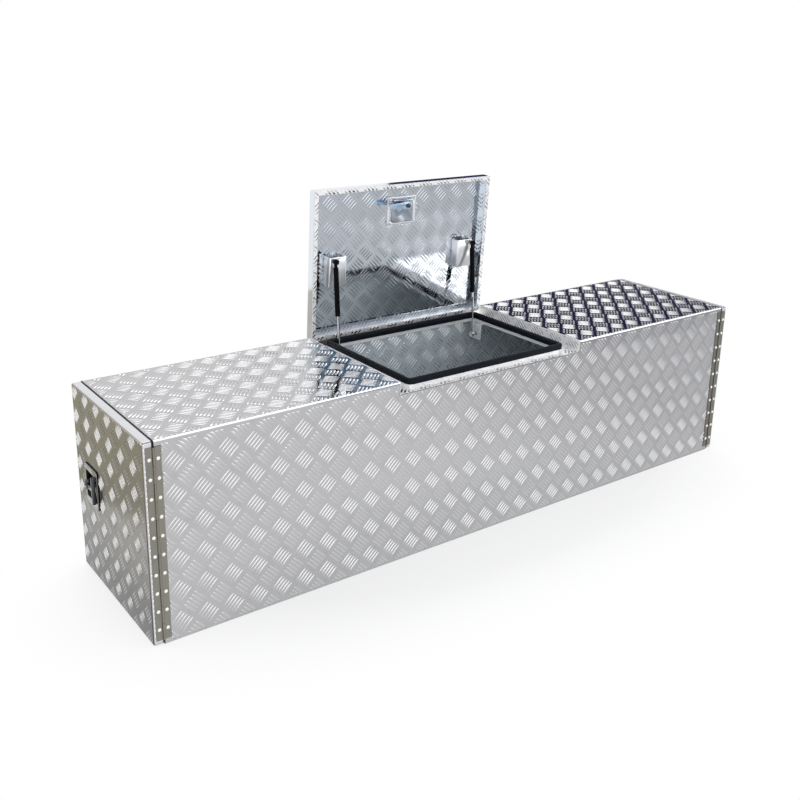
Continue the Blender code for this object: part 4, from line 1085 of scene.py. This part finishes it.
def make_floor(settings):
    """A wide pale floor that keeps the box's shadow near it and fades to the white background further out. Metal
    sees it a little greyer towards the right."""
    work = bmesh.new()
    bmesh.ops.create_circle(work, cap_ends=True, segments=FLOOR_SIDES, radius=FLOOR_RADIUS)
    bmesh.ops.recalc_face_normals(work, faces=work.faces)
    floor = object_of(work, "floor")
    material, tree, shader, place = new_material("floor")
    matt(shader)
    shader.inputs["Base Color"].default_value = (*settings.floor_colour, 1)
    stretched = add(tree, "ShaderNodeMapping")
    stretched.inputs["Scale"].default_value = FLOOR_STRETCH
    feed(tree, place, stretched.inputs["Vector"])
    reach = add(tree, "ShaderNodeVectorMath", operation="LENGTH")
    feed(tree, stretched.outputs[0], reach.inputs[0])
    far = span(tree, reach.outputs["Value"], 0.5, 1.0, *FADE_SPAN)
    mirrored = add(tree, "ShaderNodeLightPath").outputs["Is Glossy Ray"]
    dim = math_node(tree, "MULTIPLY", span(tree, axes(tree, place)["X"], 0.0, 1.0, *DIM_SPAN), mirrored)
    glow = add(tree, "ShaderNodeEmission")
    feed(tree, blend_colours(tree, dim, WHITE, DIMMED), glow.inputs["Color"])
    mixed_shaders(tree, math_node(tree, "MULTIPLY", far, studio_rays(tree)), shader.outputs[0], glow.outputs[0])
    floor.data.materials.append(material)


def studio_rays(tree):
    """One for the rays that look at the background: the camera's own, and those off metal or through glass."""
    rays = add(tree, "ShaderNodeLightPath").outputs
    shiny = math_node(tree, "MAXIMUM", rays["Is Glossy Ray"], rays["Is Transmission Ray"])
    return math_node(tree, "MAXIMUM", rays["Is Camera Ray"], shiny)


def make_world():
    """A white background and a plain soft light from all round."""
    world = bpy.data.worlds.new("sky")
    world.use_nodes = True
    bpy.context.scene.world = world
    tree = world.node_tree
    feed(tree, blend_colours(tree, studio_rays(tree), SKY_LIGHT, WHITE), tree.nodes["Background"].inputs["Color"])


def make_cards():
    """Plain matt cards out of the picture, which the polished metal mirrors and the camera sees past."""
    for name, colour, corners in CARDS:
        work = bmesh.new()
        work.faces.new([work.verts.new(corner) for corner in corners])
        made = object_of(work, name)
        material, tree, shader, place = new_material(name)
        fibre = noise(tree, place, 3.0, 4.0, 0.6)
        feed(tree, blend_colours(tree, span(tree, fibre, 0.0, 1.0), scaled(colour, 0.85), colour),
             shader.inputs["Base Color"])
        matt(shader)
        clear = add(tree, "ShaderNodeBsdfTransparent")
        seen = add(tree, "ShaderNodeLightPath").outputs["Is Camera Ray"]
        mixed_shaders(tree, seen, shader.outputs[0], clear.outputs[0])
        made.data.materials.append(material)


def make_lights(settings):
    """A long low soft box ahead for the front's bars, a high one behind for those of the top, and two small ones."""
    for name, place, aim, width, height, power in SOFT_BOXES:
        lamp = bpy.data.lights.new(name, "AREA")
        lamp.energy = getattr(settings, power)
        lamp.shape = "RECTANGLE"
        lamp.size = width
        lamp.size_y = height
        light = bpy.data.objects.new(name, lamp)
        light.location = place
        light.rotation_euler = (Vector(aim) - light.location).to_track_quat("-Z", "Y").to_euler()
        bpy.context.scene.collection.objects.link(light)


def make_camera(settings):
    """The photograph's viewpoint."""
    lens = bpy.data.cameras.new("camera")
    lens.sensor_width = SENSOR_WIDTH
    lens.lens = settings.focal_length
    lens.shift_x, lens.shift_y = LENS_SHIFT
    lens.clip_end = CAMERA_REACH
    camera = bpy.data.objects.new("camera", lens)
    camera.location = CAMERA_PLACE
    camera.rotation_euler = CAMERA_TURN
    bpy.context.scene.collection.objects.link(camera)
    bpy.context.scene.camera = camera


class BOX_PT_panel(bpy.types.Panel):
    """Lists the steps that dress the box"""

    bl_idname = "BOX_PT_panel"
    bl_label = "Trailer Tool Box"
    bl_space_type = "VIEW_3D"
    bl_region_type = "UI"
    bl_category = "Tool Box"

    def draw(self, context):
        column = self.layout.column()
        for operator in OPERATORS:
            column.operator(operator.bl_idname)
        for settings in (context.scene.tread_sizes, context.scene.finish_colours, context.scene.stage_settings):
            for name in settings.__annotations__:
                column.prop(settings, name)


OPERATORS = (BOX_OT_finishes, BOX_OT_tread, BOX_OT_rivets, BOX_OT_hardware, BOX_OT_stage)
CLASSES = (TreadSizes, FinishColours, StageSettings) + OPERATORS + (BOX_PT_panel,)


def register():
    for item in CLASSES:
        bpy.utils.register_class(item)
    bpy.types.Scene.tread_sizes = PointerProperty(type=TreadSizes)
    bpy.types.Scene.finish_colours = PointerProperty(type=FinishColours)
    bpy.types.Scene.stage_settings = PointerProperty(type=StageSettings)


def unregister():
    del bpy.types.Scene.stage_settings
    del bpy.types.Scene.finish_colours
    del bpy.types.Scene.tread_sizes
    for item in reversed(CLASSES):
        bpy.utils.unregister_class(item)


def main():
    register()
    bpy.ops.toolbox.finishes()
    bpy.ops.toolbox.tread()
    bpy.ops.toolbox.rivets()
    bpy.ops.toolbox.hardware()
    bpy.ops.toolbox.stage()


if __name__ == "__main__":
    main()
